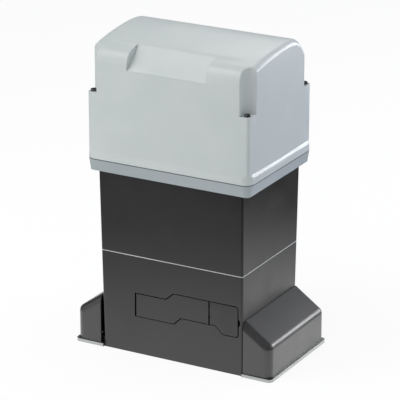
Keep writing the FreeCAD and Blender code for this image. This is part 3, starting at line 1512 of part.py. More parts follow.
def main():
    os.makedirs("parts", exist_ok=True)
    save("gearbox_housing", make_gearbox_housing())
    save("oil_plugs", make_oil_plugs())
    save("housing_gasket", make_gasket())
    save("motor_housing", make_motor_housing())
    save("tie_screws", make_tie_screws())

    save("cover_ring", make_cover_ring())
    save("ring_screws", headed_screws(ring_screw_shanks(), ring_floor, 2.2, 2.8))
    save("cover_seal", seal_band(ring_top - seal_depth, cover_bottom - seal_slack, seal_slack))
    save("cover_pillars", make_cover_pillars())
    save("top_cover", make_top_cover())
    save("cover_screws", make_cover_screws())
    save("foot_cover_left", make_foot_cover(-1, foot_cover_left_x))
    save("foot_cover_right", make_foot_cover(1, foot_cover_right_x))

    barrel, plug, cam = make_lock()
    save("release_lever", make_release_lever())
    save("lever_pin", make_lever_pin())
    save("key_flap", make_key_flap())
    save("flap_pin", make_flap_pin())
    save("lock_barrel", barrel)
    save("lock_plug", plug)
    save("lock_cam", cam)

    bearings = output_bearings()
    washer, bolt = make_pinion_fixing()
    save("output_shaft", make_output_shaft())
    save("output_bearing_outers", [outer for outer, inner in bearings])
    save("output_bearing_inners", [inner for outer, inner in bearings])
    save("bearing_cover", make_bearing_cover())
    save("bearing_cover_screws", make_bearing_cover_screws())
    save("shaft_seal", make_shaft_seal())
    save("drive_pinion", make_pinion())
    save("pinion_key", key_block())
    save("pinion_washer", washer)
    save("pinion_bolt", bolt)

    hub, discs, plate, springs, nut = make_clutch()
    save("worm_wheel", make_worm_wheel())
    save("clutch_hub", hub)
    save("friction_discs", discs)
    save("pressure_plate", plate)
    save("disc_springs", springs)
    save("clutch_nut", nut)

    dog, pin, rod = make_release()
    save("release_dog", dog)
    save("dog_pin", pin)
    save("release_rod", rod)
    save("dog_spring", make_dog_spring())
    save("rod_bushing", output_ring(bushing_front_y, bushing_front_y + bushing_length, bushing_radius,
                                    rod_radius + running_clearance))

    bearings = motor_bearings()
    save("worm_shaft", make_worm_shaft())
    save("motor_rotor", make_rotor())
    save("motor_stator", make_stator())
    save("motor_windings", make_windings())
    save("motor_end_shield", make_end_shield())
    save("end_shield_screws", headed_screws(end_shield_shanks(), sleeve_top + shield_thickness, 2.4, 3.0))
    save("motor_bearing_outers", [outer for outer, inner in bearings])
    save("motor_bearing_inners", [inner for outer, inner in bearings])
    save("worm_seal", motor_ring(mid_bearing_z + mid_bearing_width + 0.5, joint_height - worm_seal_drop,
                                 mid_bearing_radius, mid_journal_radius + running_clearance))
    save("earth_screw", make_earth_screw())

    save("board_tray", make_board_tray())
    save("control_board", make_control_board())
    save("transformer", make_transformer())
    save("relays", make_relays())
    save("terminal_blocks", make_terminal_blocks())
    save("run_capacitor", make_capacitor())
    save("capacitor_clip", make_capacitor_clip())
    save("limit_sensor", make_limit_sensor())


main()
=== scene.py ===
import json
import math
import bmesh
import bpy
from mathutils import Matrix, Vector


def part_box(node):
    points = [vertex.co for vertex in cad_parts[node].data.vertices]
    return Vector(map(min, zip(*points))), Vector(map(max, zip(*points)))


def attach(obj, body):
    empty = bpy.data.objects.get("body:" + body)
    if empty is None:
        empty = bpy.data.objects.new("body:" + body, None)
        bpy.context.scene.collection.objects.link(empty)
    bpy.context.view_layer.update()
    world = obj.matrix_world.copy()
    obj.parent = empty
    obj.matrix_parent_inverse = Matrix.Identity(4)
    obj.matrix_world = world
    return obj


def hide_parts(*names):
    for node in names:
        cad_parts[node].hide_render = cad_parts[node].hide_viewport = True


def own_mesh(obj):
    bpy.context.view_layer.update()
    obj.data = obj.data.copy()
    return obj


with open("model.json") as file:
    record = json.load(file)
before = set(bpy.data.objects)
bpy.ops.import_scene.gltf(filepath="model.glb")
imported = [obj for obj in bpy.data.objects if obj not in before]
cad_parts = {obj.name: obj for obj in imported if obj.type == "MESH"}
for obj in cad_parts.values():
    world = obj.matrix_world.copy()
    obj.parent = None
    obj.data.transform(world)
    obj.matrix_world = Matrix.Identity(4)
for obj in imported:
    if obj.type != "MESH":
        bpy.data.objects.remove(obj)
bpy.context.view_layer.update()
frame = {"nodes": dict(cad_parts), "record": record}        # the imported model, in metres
mm = 0.001
boardSheetMm = 1.6       # thickness of the bare board, for its colours and for what stands on it

# sockets of a Mix node that only their numbers tell apart
colourA, colourB, colourOut = 6, 7, 2
valueA, valueB = 2, 3


def linearColour(code):
    # sRGB hex to the linear value that the shaders take
    shares = [int(code[i:i + 2], 16) / 255 for i in (1, 3, 5)]
    return [s / 12.92 if s <= 0.04045 else ((s + 0.055) / 1.055) ** 2.4 for s in shares] + [1.0]


def perMetre(sizeMm):
    # a texture's scale for a pattern whose grain is sizeMm across
    return 1000.0 / sizeMm


def around(value, spread):
    return value - spread, value + spread


def addNode(tree, kind, settings=None, values=None, links=None, stops=None):
    # links take a socket, or a node whose first output is meant; stops are for a colour ramp
    node = tree.nodes.new(kind)
    for name, value in (settings or {}).items():
        setattr(node, name, value)
    for name, value in (values or {}).items():
        node.inputs[name].default_value = value
    for name, source in (links or {}).items():
        tree.links.new(source.outputs[0] if hasattr(source, "outputs") else source, node.inputs[name])
    for i, (position, value) in enumerate(stops or []):
        elements = node.color_ramp.elements
        element = elements[i] if i < len(elements) else elements.new(position)
        element.position = position
        element.color = linearColour(value) if isinstance(value, str) else [value, value, value, 1.0]
    return node


def newMaterial(name):
    material = bpy.data.materials.new(name)
    material.use_nodes = True
    material.node_tree.nodes.clear()
    place = addNode(material.node_tree, "ShaderNodeTexCoord").outputs["Object"]
    return material, material.node_tree, place


def closeMaterial(tree, values, links):
    shader = addNode(tree, "ShaderNodeBsdfPrincipled", values=values, links=links)
    addNode(tree, "ShaderNodeOutputMaterial", links={"Surface": shader})


def paintPast(tree, place, axis, limit, colour, code):
    # another colour on all that lies past a limit along one axis, and the mask that says where
    split = addNode(tree, "ShaderNodeSeparateXYZ", links={"Vector": place})
    past = addNode(tree, "ShaderNodeMath", settings={"operation": "GREATER_THAN"}, values={1: limit},
                   links={0: split.outputs[axis]})
    painted = addNode(tree, "ShaderNodeMix", settings={"data_type": "RGBA"},
                      values={colourB: linearColour(code)}, links={0: past, colourA: colour})
    return painted.outputs[colourOut], past


# Plastic and rubber parts

plastic = {
    "ior": 1.5,
    "cloudMm": 70.0,         # slow drift of the colour
    "cloudDetail": 3.0,
    "cloudStops": (0.35, 0.65),
    "handledMm": 22.0,       # patches that hands have polished
    "handledDetail": 4.0,
    "handledStops": (0.3, 0.7),
    "glossSpread": 0.04,
    "gritDetail": 2.0,
    "edgeSamples": 6,
}


def mouldedPlastic(name, light, dark, roughness, gritMm, gritDepthMm, edgeMm=0.0, gapShade=None):
    # ASA, ABS or rubber from a spark-eroded mould: even colour, a fine grit that softens every highlight;
    # the real grit is near 0.1 mm, and is drawn coarser so that it shows
    material, tree, place = newMaterial(name)
    cloud = addNode(tree, "ShaderNodeTexNoise", links={"Vector": place},
                    values={"Scale": perMetre(plastic["cloudMm"]), "Detail": plastic["cloudDetail"]})
    colour = addNode(tree, "ShaderNodeValToRGB", links={"Fac": cloud},
                     stops=zip(plastic["cloudStops"], (dark, light)))
    # painted shade of the gap under the hood, as a dark band along the part's top edge
    if gapShade:
        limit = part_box(gapShade["node"])[1].z - gapShade["bandMm"] * mm
        colour = paintPast(tree, place, "Z", limit, colour, gapShade["colour"])[0]
    handled = addNode(tree, "ShaderNodeTexNoise", links={"Vector": place},
                      values={"Scale": perMetre(plastic["handledMm"]), "Detail": plastic["handledDetail"]})
    gloss = addNode(tree, "ShaderNodeValToRGB", links={"Fac": handled},
                    stops=zip(plastic["handledStops"], around(roughness, plastic["glossSpread"])))
    grit = addNode(tree, "ShaderNodeTexNoise", links={"Vector": place},
                   values={"Scale": perMetre(gritMm), "Detail": plastic["gritDetail"]})
    bump = addNode(tree, "ShaderNodeBump", values={"Strength": 1.0, "Distance": gritDepthMm * mm},
                   links={"Height": grit})
    if edgeMm:
        edge = addNode(tree, "ShaderNodeBevel", settings={"samples": plastic["edgeSamples"]},
                       values={"Radius": edgeMm * mm})
        tree.links.new(edge.outputs[0], bump.inputs["Normal"])
    closeMaterial(tree, {"IOR": plastic["ior"]}, {"Base Color": colour, "Roughness": gloss, "Normal": bump})
    return material


# Castings

powder = {
    "ior": 1.5,
    "mottleMm": 38.0,        # where the coat came out thicker
    "mottleDetail": 5.0,
    "mottleStops": (0.3, 0.7),
    "glossSpread": 0.05,
    "edgeMm": 0.7,
    "edgeSamples": 6,
    "edgeStops": (0.80, 0.96),
    "patchMm": 9.0,          # the rubbing comes and goes along an edge
    "patchDetail": 4.0,
    "patchStops": (0.42, 0.62),
    "patchShares": (0.1, 0.7),
    "rubbed": "#5A5B5D",
    "peelMm": 1.6,
    "peelDetail": 3.0,
    "peelDepthMm": 0.04,
}


def powderCoat(name, light, dark, roughness, bareStrip=None):
    # polyester powder on a die casting: orange peel, soft mottling, edges rubbed lighter
    material, tree, place = newMaterial(name)
    mottle = addNode(tree, "ShaderNodeTexNoise", links={"Vector": place},
                     values={"Scale": perMetre(powder["mottleMm"]), "Detail": powder["mottleDetail"]})
    colour = addNode(tree, "ShaderNodeValToRGB", links={"Fac": mottle},
                     stops=zip(powder["mottleStops"], (dark, light)))
    gloss = addNode(tree, "ShaderNodeValToRGB", links={"Fac": mottle},
                    stops=zip(powder["mottleStops"], around(roughness, powder["glossSpread"])))
    edge = addNode(tree, "ShaderNodeBevel", settings={"samples": powder["edgeSamples"]},
                   values={"Radius": powder["edgeMm"] * mm})
    facing = addNode(tree, "ShaderNodeNewGeometry").outputs["Normal"]
    turned = addNode(tree, "ShaderNodeVectorMath", settings={"operation": "DOT_PRODUCT"},
                     links={0: edge, 1: facing}).outputs["Value"]
    rubbed = addNode(tree, "ShaderNodeValToRGB", links={"Fac": turned},
                     stops=zip(powder["edgeStops"], (1.0, 0.0)))
    patches = addNode(tree, "ShaderNodeTexNoise", links={"Vector": place},
                      values={"Scale": perMetre(powder["patchMm"]), "Detail": powder["patchDetail"]})
    patchy = addNode(tree, "ShaderNodeValToRGB", links={"Fac": patches},
                     stops=zip(powder["patchStops"], powder["patchShares"]))
    worn = addNode(tree, "ShaderNodeMath", settings={"operation": "MULTIPLY"}, links={0: rubbed, 1: patchy})
    colour = addNode(tree, "ShaderNodeMix", settings={"data_type": "RGBA"},
                     values={colourB: linearColour(powder["rubbed"])},
                     links={0: worn, colourA: colour}).outputs[colourOut]
    peel = addNode(tree, "ShaderNodeTexNoise", links={"Vector": place},
                   values={"Scale": perMetre(powder["peelMm"]), "Detail": powder["peelDetail"]})
    bump = addNode(tree, "ShaderNodeBump", values={"Strength": 1.0, "Distance": powder["peelDepthMm"] * mm},
                   links={"Height": peel, "Normal": edge})
    links = {"Roughness": gloss, "Normal": bump}
    if bareStrip:
        split = addNode(tree, "ShaderNodeSeparateXYZ", links={"Vector": place})
        low = addNode(tree, "ShaderNodeMath", settings={"operation": "LESS_THAN"},
                      values={1: bareStrip["topMm"] * mm}, links={0: split.outputs["Z"]})
        reach = addNode(tree, "ShaderNodeMath", settings={"operation": "ABSOLUTE"},
                        links={0: split.outputs["X"]})
        outer = addNode(tree, "ShaderNodeMath", settings={"operation": "GREATER_THAN"},
                        values={1: bareStrip["beyondMm"] * mm}, links={0: reach})
        bare = addNode(tree, "ShaderNodeMath", settings={"operation": "MULTIPLY"}, links={0: low, 1: outer})
        colour = addNode(tree, "ShaderNodeMix", settings={"data_type": "RGBA"},
                         values={colourB: linearColour(bareStrip["colour"])},
                         links={0: bare, colourA: colour}).outputs[colourOut]
        links["Metallic"] = bare
    links["Base Color"] = colour
    closeMaterial(tree, {"IOR": powder["ior"]}, links)
    return material


# Metal parts

metal = {
    "markDetail": 4.0,
    "cloudMm": 14.0,         # a faint cloud of handling
    "cloudDetail": 4.0,
    "stops": (0.3, 0.7),
    "glossSpread": 0.08,
    "edgeMm": 0.25,
    "edgeSamples": 4,
}


def plainMetal(name, light, dark, roughness, markMm, stretch=(1, 1, 1), depthMm=0.01):
    # turned, ground or plated metal: fine marks, along one direction where they are stretched;
    # real ones are near 0.1 mm apart, and are drawn coarser so that they show
    material, tree, place = newMaterial(name)
    along = addNode(tree, "ShaderNodeMapping", values={"Scale": stretch}, links={"Vector": place})
    marks = addNode(tree, "ShaderNodeTexNoise", links={"Vector": along},
                    values={"Scale": perMetre(markMm), "Detail": metal["markDetail"]})
    cloud = addNode(tree, "ShaderNodeTexNoise", links={"Vector": place},
                    values={"Scale": perMetre(metal["cloudMm"]), "Detail": metal["cloudDetail"]})
    colour = addNode(tree, "ShaderNodeValToRGB", links={"Fac": cloud},
                     stops=zip(metal["stops"], (dark, light)))
    gloss = addNode(tree, "ShaderNodeValToRGB", links={"Fac": marks},
                    stops=zip(metal["stops"], around(roughness, metal["glossSpread"])))
    edge = addNode(tree, "ShaderNodeBevel", settings={"samples": metal["edgeSamples"]},
                   values={"Radius": metal["edgeMm"] * mm})
    bump = addNode(tree, "ShaderNodeBump", values={"Strength": 1.0, "Distance": depthMm * mm},
                   links={"Height": marks, "Normal": edge})
    closeMaterial(tree, {"Metallic": 1.0}, {"Base Color": colour, "Roughness": gloss, "Normal": bump})
    return material


# The control board and what stands on it

boardFinish = {
    "resist": "#1B6A42",
    "shade": "#175C39",
    "track": "#3C8F63",
    "epoxy": "#232427",
    "cellMm": 9.0,
    "cellShift": 0.37,
    "shiftEvery": 3,
    "trackWidth": 0.03,
    "trackBlur": 0.2,
    "reliefMm": 0.04,
    "relief": 0.6,
    "clearanceMm": 0.1,
    "shader": {"IOR": 1.5, "Roughness": 0.34},
}


def circuitBoard(name, values):
    # green solder resist over copper: the tracks stand out a little lighter, in square steps,
    # and what stands on the sheet is moulded black epoxy
    material, tree, place = newMaterial(name)
    tracks = addNode(tree, "ShaderNodeTexBrick", links={"Vector": place},
                     settings={"offset": values["cellShift"], "offset_frequency": values["shiftEvery"]},
                     values={"Color1": linearColour(values["resist"]),
                             "Color2": linearColour(values["shade"]),
                             "Mortar": linearColour(values["track"]),
                             "Mortar Size": values["trackWidth"],
                             "Mortar Smooth": values["trackBlur"],
                             "Scale": perMetre(values["cellMm"])})
    bump = addNode(tree, "ShaderNodeBump", links={"Height": tracks.outputs["Fac"]},
                   values={"Strength": values["relief"], "Distance": values["reliefMm"] * mm})
    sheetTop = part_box("control_board")[0].z + boardSheetMm * mm
    colour = paintPast(tree, place, "Z", sheetTop + values["clearanceMm"] * mm, tracks, values["epoxy"])[0]
    closeMaterial(tree, values["shader"], {"Base Color": colour, "Normal": bump})
    return material


transformerFinish = {
    "coilStandMm": 6.0,      # how far the coil stands out of the core
    "clearanceMm": 0.1,
    "tape": "#C9A93C",
    "sheet": "#8A8B8D",
    "sheetShade": "#5A5B5E",
    "sheetStops": (0.2, 0.8),
    "sheetMm": 2.4,          # real sheets are 0.5 mm, drawn thicker so that they show
    "wavesPerMetre": 3.15,   # about what the wave texture draws at a scale of 1
    "sheetDepthMm": 0.1,
    "shader": {"IOR": 1.5, "Roughness": 0.45},
}


def woundTransformer(name, values):
    # stacked steel sheets with a taped coil that bulges out at both sides
    material, tree, place = newMaterial(name)
    low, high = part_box("transformer")
    coreHalf = (high.y - low.y) / 2 - values["coilStandMm"] * mm
    split = addNode(tree, "ShaderNodeSeparateXYZ", links={"Vector": place})
    offset = addNode(tree, "ShaderNodeMath", settings={"operation": "SUBTRACT"},
                     values={1: (low.y + high.y) / 2}, links={0: split.outputs["Y"]})
    reach = addNode(tree, "ShaderNodeMath", settings={"operation": "ABSOLUTE"}, links={0: offset})
    coil = addNode(tree, "ShaderNodeMath", settings={"operation": "GREATER_THAN"}, links={0: reach},
                   values={1: coreHalf + values["clearanceMm"] * mm})
    sheets = addNode(tree, "ShaderNodeTexWave", settings={"bands_direction": "Y"}, links={"Vector": place},
                     values={"Scale": perMetre(values["sheetMm"]) / values["wavesPerMetre"]})
    steel = addNode(tree, "ShaderNodeValToRGB", links={"Fac": sheets},
                    stops=zip(values["sheetStops"], (values["sheetShade"], values["sheet"])))
    colour = addNode(tree, "ShaderNodeMix", settings={"data_type": "RGBA"}, links={0: coil, colourA: steel},
                     values={colourB: linearColour(values["tape"])}).outputs[colourOut]
    bump = addNode(tree, "ShaderNodeBump", links={"Height": sheets},
                   values={"Strength": 1.0, "Distance": values["sheetDepthMm"] * mm})
    closeMaterial(tree, values["shader"], {"Base Color": colour, "Normal": bump})
    return material


capacitorFinish = {
    "tagMm": 8.0,
    "tag": "#C9C4B4",
    "case": "#E2E1DA",
    "caseShade": "#D6D5CE",
    "cloudMm": 40.0,
    "cloudDetail": 3.0,
    "cloudStops": (0.35, 0.65),
    "shader": {"IOR": 1.5, "Roughness": 0.3},
}


def canWithTags(name, values):
    # pale moulded can whose push-on tags are tinned brass
    material, tree, place = newMaterial(name)
    cloud = addNode(tree, "ShaderNodeTexNoise", links={"Vector": place},
                    values={"Scale": perMetre(values["cloudMm"]), "Detail": values["cloudDetail"]})
    case = addNode(tree, "ShaderNodeValToRGB", links={"Fac": cloud},
                   stops=zip(values["cloudStops"], (values["caseShade"], values["case"])))
    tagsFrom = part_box("run_capacitor")[1].y - values["tagMm"] * mm
    colour, tags = paintPast(tree, place, "Y", tagsFrom, case, values["tag"])
    closeMaterial(tree, values["shader"], {"Base Color": colour, "Metallic": tags})
    return material


# painted shade: a thin dark band along the ring's top edge stands in for the shadow in the gap under the
# hood
ringGapShade = {"node": "cover_ring", "bandMm": 1.0, "colour": "#6F787B"}

# the foot's ground rim is left bare, and shows as a bright line under the foot covers
footRim = {"topMm": 4.2, "beyondMm": 97.3, "colour": "#8F9191"}

# the light and the dark colour, roughness, size of the grit or the marks in mm, and the grit's depth in mm
materials = {
    # satin hood and ring, dark foot covers a little glossier than the castings between them
    "cover_grey": mouldedPlastic("moulded grey ASA", "#CDD5D4", "#C8D0D0", 0.38, 0.9, 0.01),
    "ring_grey": mouldedPlastic("moulded grey ABS ring", "#ADB6BA", "#A7B1B5", 0.45, 0.9, 0.01,
                                gapShade=ringGapShade),
    "foot_dark": mouldedPlastic("moulded charcoal ABS", "#3C3C3D", "#363637", 0.33, 0.8, 0.006),
    "cast_charcoal": powderCoat("charcoal powder coat", "#1C1C1D", "#161617", 0.37, bareStrip=footRim),
    "lever_dark": powderCoat("charcoal powder coat lever", "#282829", "#212122", 0.42),
    "flap_dark": mouldedPlastic("moulded charcoal flap", "#232324", "#1D1D1E", 0.44, 0.8, 0.01, edgeMm=0.4),
    "gasket_light": mouldedPlastic("pressed fibre gasket", "#D0D2D1", "#BFC2C1", 0.7, 0.6, 0.03),
    # screws and plated parts, soft in their shine
    "screw_black": plainMetal("blackened steel", "#6E6F72", "#55565A", 0.36, 0.5),
    "zinc_steel": plainMetal("zinc plated steel", "#C2C3C0", "#A6A7A4", 0.34, 0.6),
    "plug_steel": plainMetal("zinc plated plug", "#A6A7A3", "#8A8B87", 0.4, 0.6),
    "lock_metal": plainMetal("nickel plated lock", "#C9C7BF", "#AFADA5", 0.22, 0.4),
    # turned, hobbed and ground parts of the drive; the cut teeth keep marks along the face
    "machined_steel": plainMetal("turned steel", "#AFAFAF", "#949494", 0.3, 0.35),
    "pinion_steel": plainMetal("hobbed steel", "#B0ADA1", "#8F8C81", 0.36, 0.5, stretch=(1, 0.12, 1)),
    "spring_steel": plainMetal("oil tempered spring steel", "#626265", "#4B4B4E", 0.4, 0.5),
    "bearing_steel": plainMetal("ground bearing steel", "#CDCDCD", "#B8B8B8", 0.18, 0.3),
    "bronze": plainMetal("cut bronze", "#BE8F4E", "#96703C", 0.32, 0.5),
    "friction_lining": mouldedPlastic("pressed friction lining", "#5A4636", "#473627", 0.85, 0.7, 0.1),
    "seal_rubber": mouldedPlastic("nitrile rubber", "#1C1C1C", "#171717", 0.6, 0.6, 0.02),
    # the motor: edges of thin sheets, and turns of wire under varnish
    "lamination": plainMetal("stacked laminations", "#86878A", "#66676A", 0.45, 0.5,
                             stretch=(0.05, 0.05, 1)),
    "copper_coil": plainMetal("varnished copper coil", "#B86E3E", "#8B4E2A", 0.35, 0.8, depthMm=0.2),
    "bare_aluminium": plainMetal("die cast aluminium", "#BEC0C1", "#A3A5A6", 0.5, 0.9, depthMm=0.04),
    # the electrics
    "tray_plastic": mouldedPlastic("moulded black tray", "#2B2B2D", "#252527", 0.5, 0.8, 0.03),
    "board_green": circuitBoard("green solder resist", boardFinish),
    "coil_tape": woundTransformer("laminated core with taped coil", transformerFinish),
    "relay_plastic": mouldedPlastic("moulded relay case", "#23324A", "#1C2A40", 0.3, 0.8, 0.01),
    "terminal_green": mouldedPlastic("moulded terminal strip", "#4FA070", "#449263", 0.4, 0.8, 0.02),
    "capacitor_white": canWithTags("moulded capacitor case", capacitorFinish),
}
sleeveBlack = mouldedPlastic("shrunk sleeve", "#1B1D22", "#15171B", 0.35, 0.8, 0.01, edgeMm=0.2)
resistorBeige = mouldedPlastic("lacquered resistor", "#B99C6B", "#A88B5B", 0.4, 0.6, 0.01, edgeMm=0.1)
headerWhite = mouldedPlastic("moulded header", "#DCDAD0", "#D0CEC4", 0.4, 0.6, 0.01, edgeMm=0.2)
lampRed = mouldedPlastic("cast red lens", "#B3261E", "#A01F18", 0.2, 0.6, 0.005, edgeMm=0.1)
print("materials are made")


def dressNodes():
    for row in frame["record"]["subparts"]:
        node = frame["nodes"][row["node"]]
        node.data.materials.clear()
        node.data.materials.append(materials[row["material_slot"]])


# Meshes

def meshObject(name, grid):
    # the bmesh as an object of the scene, at the origin
    mesh = bpy.data.meshes.new(name)
    grid.to_mesh(mesh)
    grid.free()
    thing = bpy.data.objects.new(name, mesh)
    bpy.context.scene.collection.objects.link(thing)
    return thing


def shadeSmooth(mesh, degrees):
    # smooth, but for the edges that are sharper than an angle
    mesh.shade_smooth()
    mesh.set_sharp_from_angle(angle=math.radians(degrees))


pieceMesh = {"weldMm": 0.002, "smoothDegrees": 35}


def newPiece(name, grid, material, body="root"):
    bmesh.ops.remove_doubles(grid, verts=grid.verts, dist=pieceMesh["weldMm"] * mm)
    bmesh.ops.recalc_face_normals(grid, faces=grid.faces)
    piece = meshObject(name, grid)
    shadeSmooth(piece.data, pieceMesh["smoothDegrees"])
    piece.data.materials.append(material)
    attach(piece, body)
    return piece


def blockAt(grid, low, high, bevelMm=0.0):
    # a block between two corners in millimetres, its edges rounded if asked
    size = (Vector(high) - Vector(low)) * mm
    middle = (Vector(high) + Vector(low)) * mm / 2
    matrix = Matrix.Translation(middle) @ Matrix.Diagonal((*size, 1.0))
    corners = bmesh.ops.create_cube(grid, size=1.0, matrix=matrix)["verts"]
    if bevelMm:
        edges = list({edge for vert in corners for edge in vert.link_edges})
        bmesh.ops.bevel(grid, geom=edges, offset=bevelMm * mm, segments=2, profile=0.5, affect="EDGES",
                        material=-1)


alongX = Matrix.Rotation(math.pi / 2, 3, "Y")
alongY = Matrix.Rotation(-math.pi / 2, 3, "X")


def turnedAt(grid, outline, foot, steps, turn=None):
    # an outline of (radius, height) in millimetres, spun about Z and then laid along another axis if asked
    before = set(grid.verts)
    points = [grid.verts.new((radius * mm, 0.0, height * mm)) for radius, height in outline]
    edges = [grid.edges.new(pair) for pair in zip(points, points[1:])]
    bmesh.ops.spin(grid, geom=points + edges, cent=(0, 0, 0), axis=(0, 0, 1), angle=2 * math.pi,
                   steps=steps, use_merge=True, use_duplicate=False)
    spun = [vert for vert in grid.verts if vert not in before]
    if turn is not None:
        bmesh.ops.rotate(grid, verts=spun, cent=(0, 0, 0), matrix=turn)
    bmesh.ops.translate(grid, verts=spun, vec=Vector(foot) * mm)


# shares of the head's radius and height
slotted = {"taper": 0.9, "discReach": 0.7, "discHeight": 0.3}


def slottedHead(grid, centre, screw):
    # a screw head whose slot is the gap between two halves on a thin disc
    foot = Vector(centre)
    radius = screw["radius"]
    height = screw["height"]
    for side in (-1, 1):
        before = set(grid.verts)
        bmesh.ops.create_cone(grid, cap_ends=True, segments=screw["steps"], radius1=radius * mm,
                              radius2=radius * mm * slotted["taper"], depth=height * mm,
                              matrix=Matrix.Translation((foot + Vector((0, 0, height / 2))) * mm))
        half = [vert for vert in grid.verts if vert not in before]
        joined = list({item for vert in half for item in (vert, *vert.link_edges, *vert.link_faces)})
        slotWall = foot + Vector((0, side * screw["slot"] / 2, 0))
        cut = bmesh.ops.bisect_plane(grid, geom=joined, plane_co=slotWall * mm, plane_no=(0, -side, 0),
                                     clear_outer=True)["geom_cut"]
        bmesh.ops.edgeloop_fill(grid, edges=[item for item in cut if isinstance(item, bmesh.types.BMEdge)])
    reach = radius * slotted["discReach"]
    blockAt(grid, foot + Vector((-reach, -reach, 0)),
            foot + Vector((reach, reach, height * slotted["discHeight"])))


# The hood's roof

roof = {
    # depth in the hood, and how far its roof drops there
    "stations": [(-90, 0.0), (-78, 0.0), (-66, 3.0), (-48, 3.8), (-20, 3.8), (0, 3.0), (20, 1.5), (34, 0.9),
                 (43, 1.6), (50, 3.9), (57, 8.6), (62, 11.2), (75, 12.6), (90, 13.4)],
    "fullAboveMm": 374.0,
    "noneBelowMm": 334.0,
    "weldMm": 0.004,
    "planeMm": 0.01,
    "firstCutMm": 4.0,
    "lastCutMm": 1.0,
    "coarseCutMm": 6.0,
    "fineCutMm": 1.75,
    "fineFromMm": 38.0,
    "smoothDegrees": 32,
    "flatFaceWeight": 100,
}


def dropAt(stations, y):
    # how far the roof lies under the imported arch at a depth, on a smooth line through the stations
    for i in range(1, len(stations) - 2):
        (y0, d0), (y1, d1) = stations[i], stations[i + 1]
        if y0 <= y <= y1:
            into = (d1 - stations[i - 1][1]) / (y1 - stations[i - 1][0])
            away = (stations[i + 2][1] - d0) / (stations[i + 2][0] - y0)
            t = (y - y0) / (y1 - y0)
            run = y1 - y0
            return ((2 * t ** 3 - 3 * t ** 2 + 1) * d0 + (t ** 3 - 2 * t ** 2 + t) * run * into
                    + (3 * t ** 2 - 2 * t ** 3) * d1 + (t ** 3 - t ** 2) * run * away)
    return stations[0][1] if y < stations[1][0] else stations[-1][1]


def eased(share):
    # 0 to 1 without a crease at either end
    share = min(max(share, 0.0), 1.0)
    return share * share * (3 - 2 * share)


def makeHood(values):
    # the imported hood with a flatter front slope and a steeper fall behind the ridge, as in the photograph
    grid = bmesh.new()
    grid.from_mesh(frame["nodes"]["top_cover"].data)
    bmesh.ops.remove_doubles(grid, verts=grid.verts, dist=values["weldMm"] * mm)
    low, high = [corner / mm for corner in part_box("top_cover")]
    y = low.y + values["firstCutMm"]
    while y < high.y - values["lastCutMm"]:
        bmesh.ops.bisect_plane(grid, geom=grid.verts[:] + grid.edges[:] + grid.faces[:],
                               dist=values["planeMm"] * mm, plane_co=(0, y * mm, 0), plane_no=(0, 1, 0))
        y += values["fineCutMm"] if y > values["fineFromMm"] else values["coarseCutMm"]
    span = values["fullAboveMm"] - values["noneBelowMm"]
    for vert in grid.verts:
        share = eased((vert.co.z / mm - values["noneBelowMm"]) / span)
        vert.co.z -= dropAt(values["stations"], vert.co.y / mm) * share * mm
    # the cuts leave faces with many corners, which would bend over the new slope
    bmesh.ops.triangulate(grid, faces=[face for face in grid.faces if len(face.verts) > 4])
    hood = meshObject("hood", grid)
    shadeSmooth(hood.data, values["smoothDegrees"])
    weighted = hood.modifiers.new("flat faces stay flat", "WEIGHTED_NORMAL")
    weighted.weight = values["flatFaceWeight"]
    weighted.keep_sharp = True
    hood.data.materials.append(materials["cover_grey"])
    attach(hood, "cover")
    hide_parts("top_cover")


# Small parts on the control board, seen when the cover is lifted off, in millimetres

def boardCorners():
    # the board's corners and the height of its upper face
    low, high = [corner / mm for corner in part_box("control_board")]
    return low, high, low.z + boardSheetMm


chipPins = {
    "chips": (-1, 0, 1),
    "chipSize": 14.0,
    "chipPitch": 26.0,
    "chipY": -5.0,
    "count": 8,
    "pitch": 1.5,
    "width": 0.6,
    "foot": {"reach": 1.6, "from": 0.0, "to": 0.3},
    "leg": {"reach": 0.7, "from": 0.2, "to": 1.8},
}


def makeChipPins(values):
    # along two sides of each chip, a foot on the board and a leg up to the case
    low, high, top = boardCorners()
    half = values["width"] / 2
    grid = bmesh.new()
    for chip in values["chips"]:
        centre = (low.x + high.x) / 2 + chip * values["chipPitch"]
        for side in (-1, 1):
            edge = values["chipY"] + side * values["chipSize"] / 2
            for k in range(values["count"]):
                x = centre + (k - (values["count"] - 1) / 2) * values["pitch"]
                for bend in (values["foot"], values["leg"]):
                    near, far = sorted((edge, edge + side * bend["reach"]))
                    blockAt(grid, (x - half, near, top + bend["from"]), (x + half, far, top + bend["to"]))
    newPiece("chip_pins", grid, materials["zinc_steel"])


fuseCaps = {
    "left": 10.0,
    "y": -26.0,
    "axisUp": 4.0,
    "fuseLength": 24.0,
    "radius": 3.35,
    "width": 5.0,
    "overhang": 0.3,
    "corner": 0.4,
    "steps": 24,
}


def makeFuseCaps(values):
    # a cap over each end of the fuse
    low, high, top = boardCorners()
    radius = values["radius"]
    width = values["width"]
    corner = values["corner"]
    outline = [(0, 0), (radius - corner, 0), (radius, corner), (radius, width - corner),
               (radius - corner, width), (0, width)]
    first = low.x + values["left"] - values["overhang"]
    second = low.x + values["left"] + values["fuseLength"] - width + values["overhang"]
    grid = bmesh.new()
    for x in (first, second):
        turnedAt(grid, outline, (x, values["y"], top + values["axisUp"]), values["steps"], turn=alongX)
    newPiece("fuse_caps", grid, materials["zinc_steel"])


storageCapacitors = {
    # from the board's left, from its front, radius, height
    "cans": [(14.0, 66.0, 5.0, 15.0), (27.0, 66.0, 5.0, 15.0), (39.0, 70.0, 4.0, 11.0),
             (118.0, 33.0, 5.0, 14.0), (131.0, 33.0, 4.0, 11.0)],
    "groove": {"from": 1.2, "deepest": 1.7, "to": 2.2, "depth": 0.35},
    "shoulder": 0.8,
    "rimWidth": 1.4,
    "rimDepth": 0.2,
    "steps": 24,
}


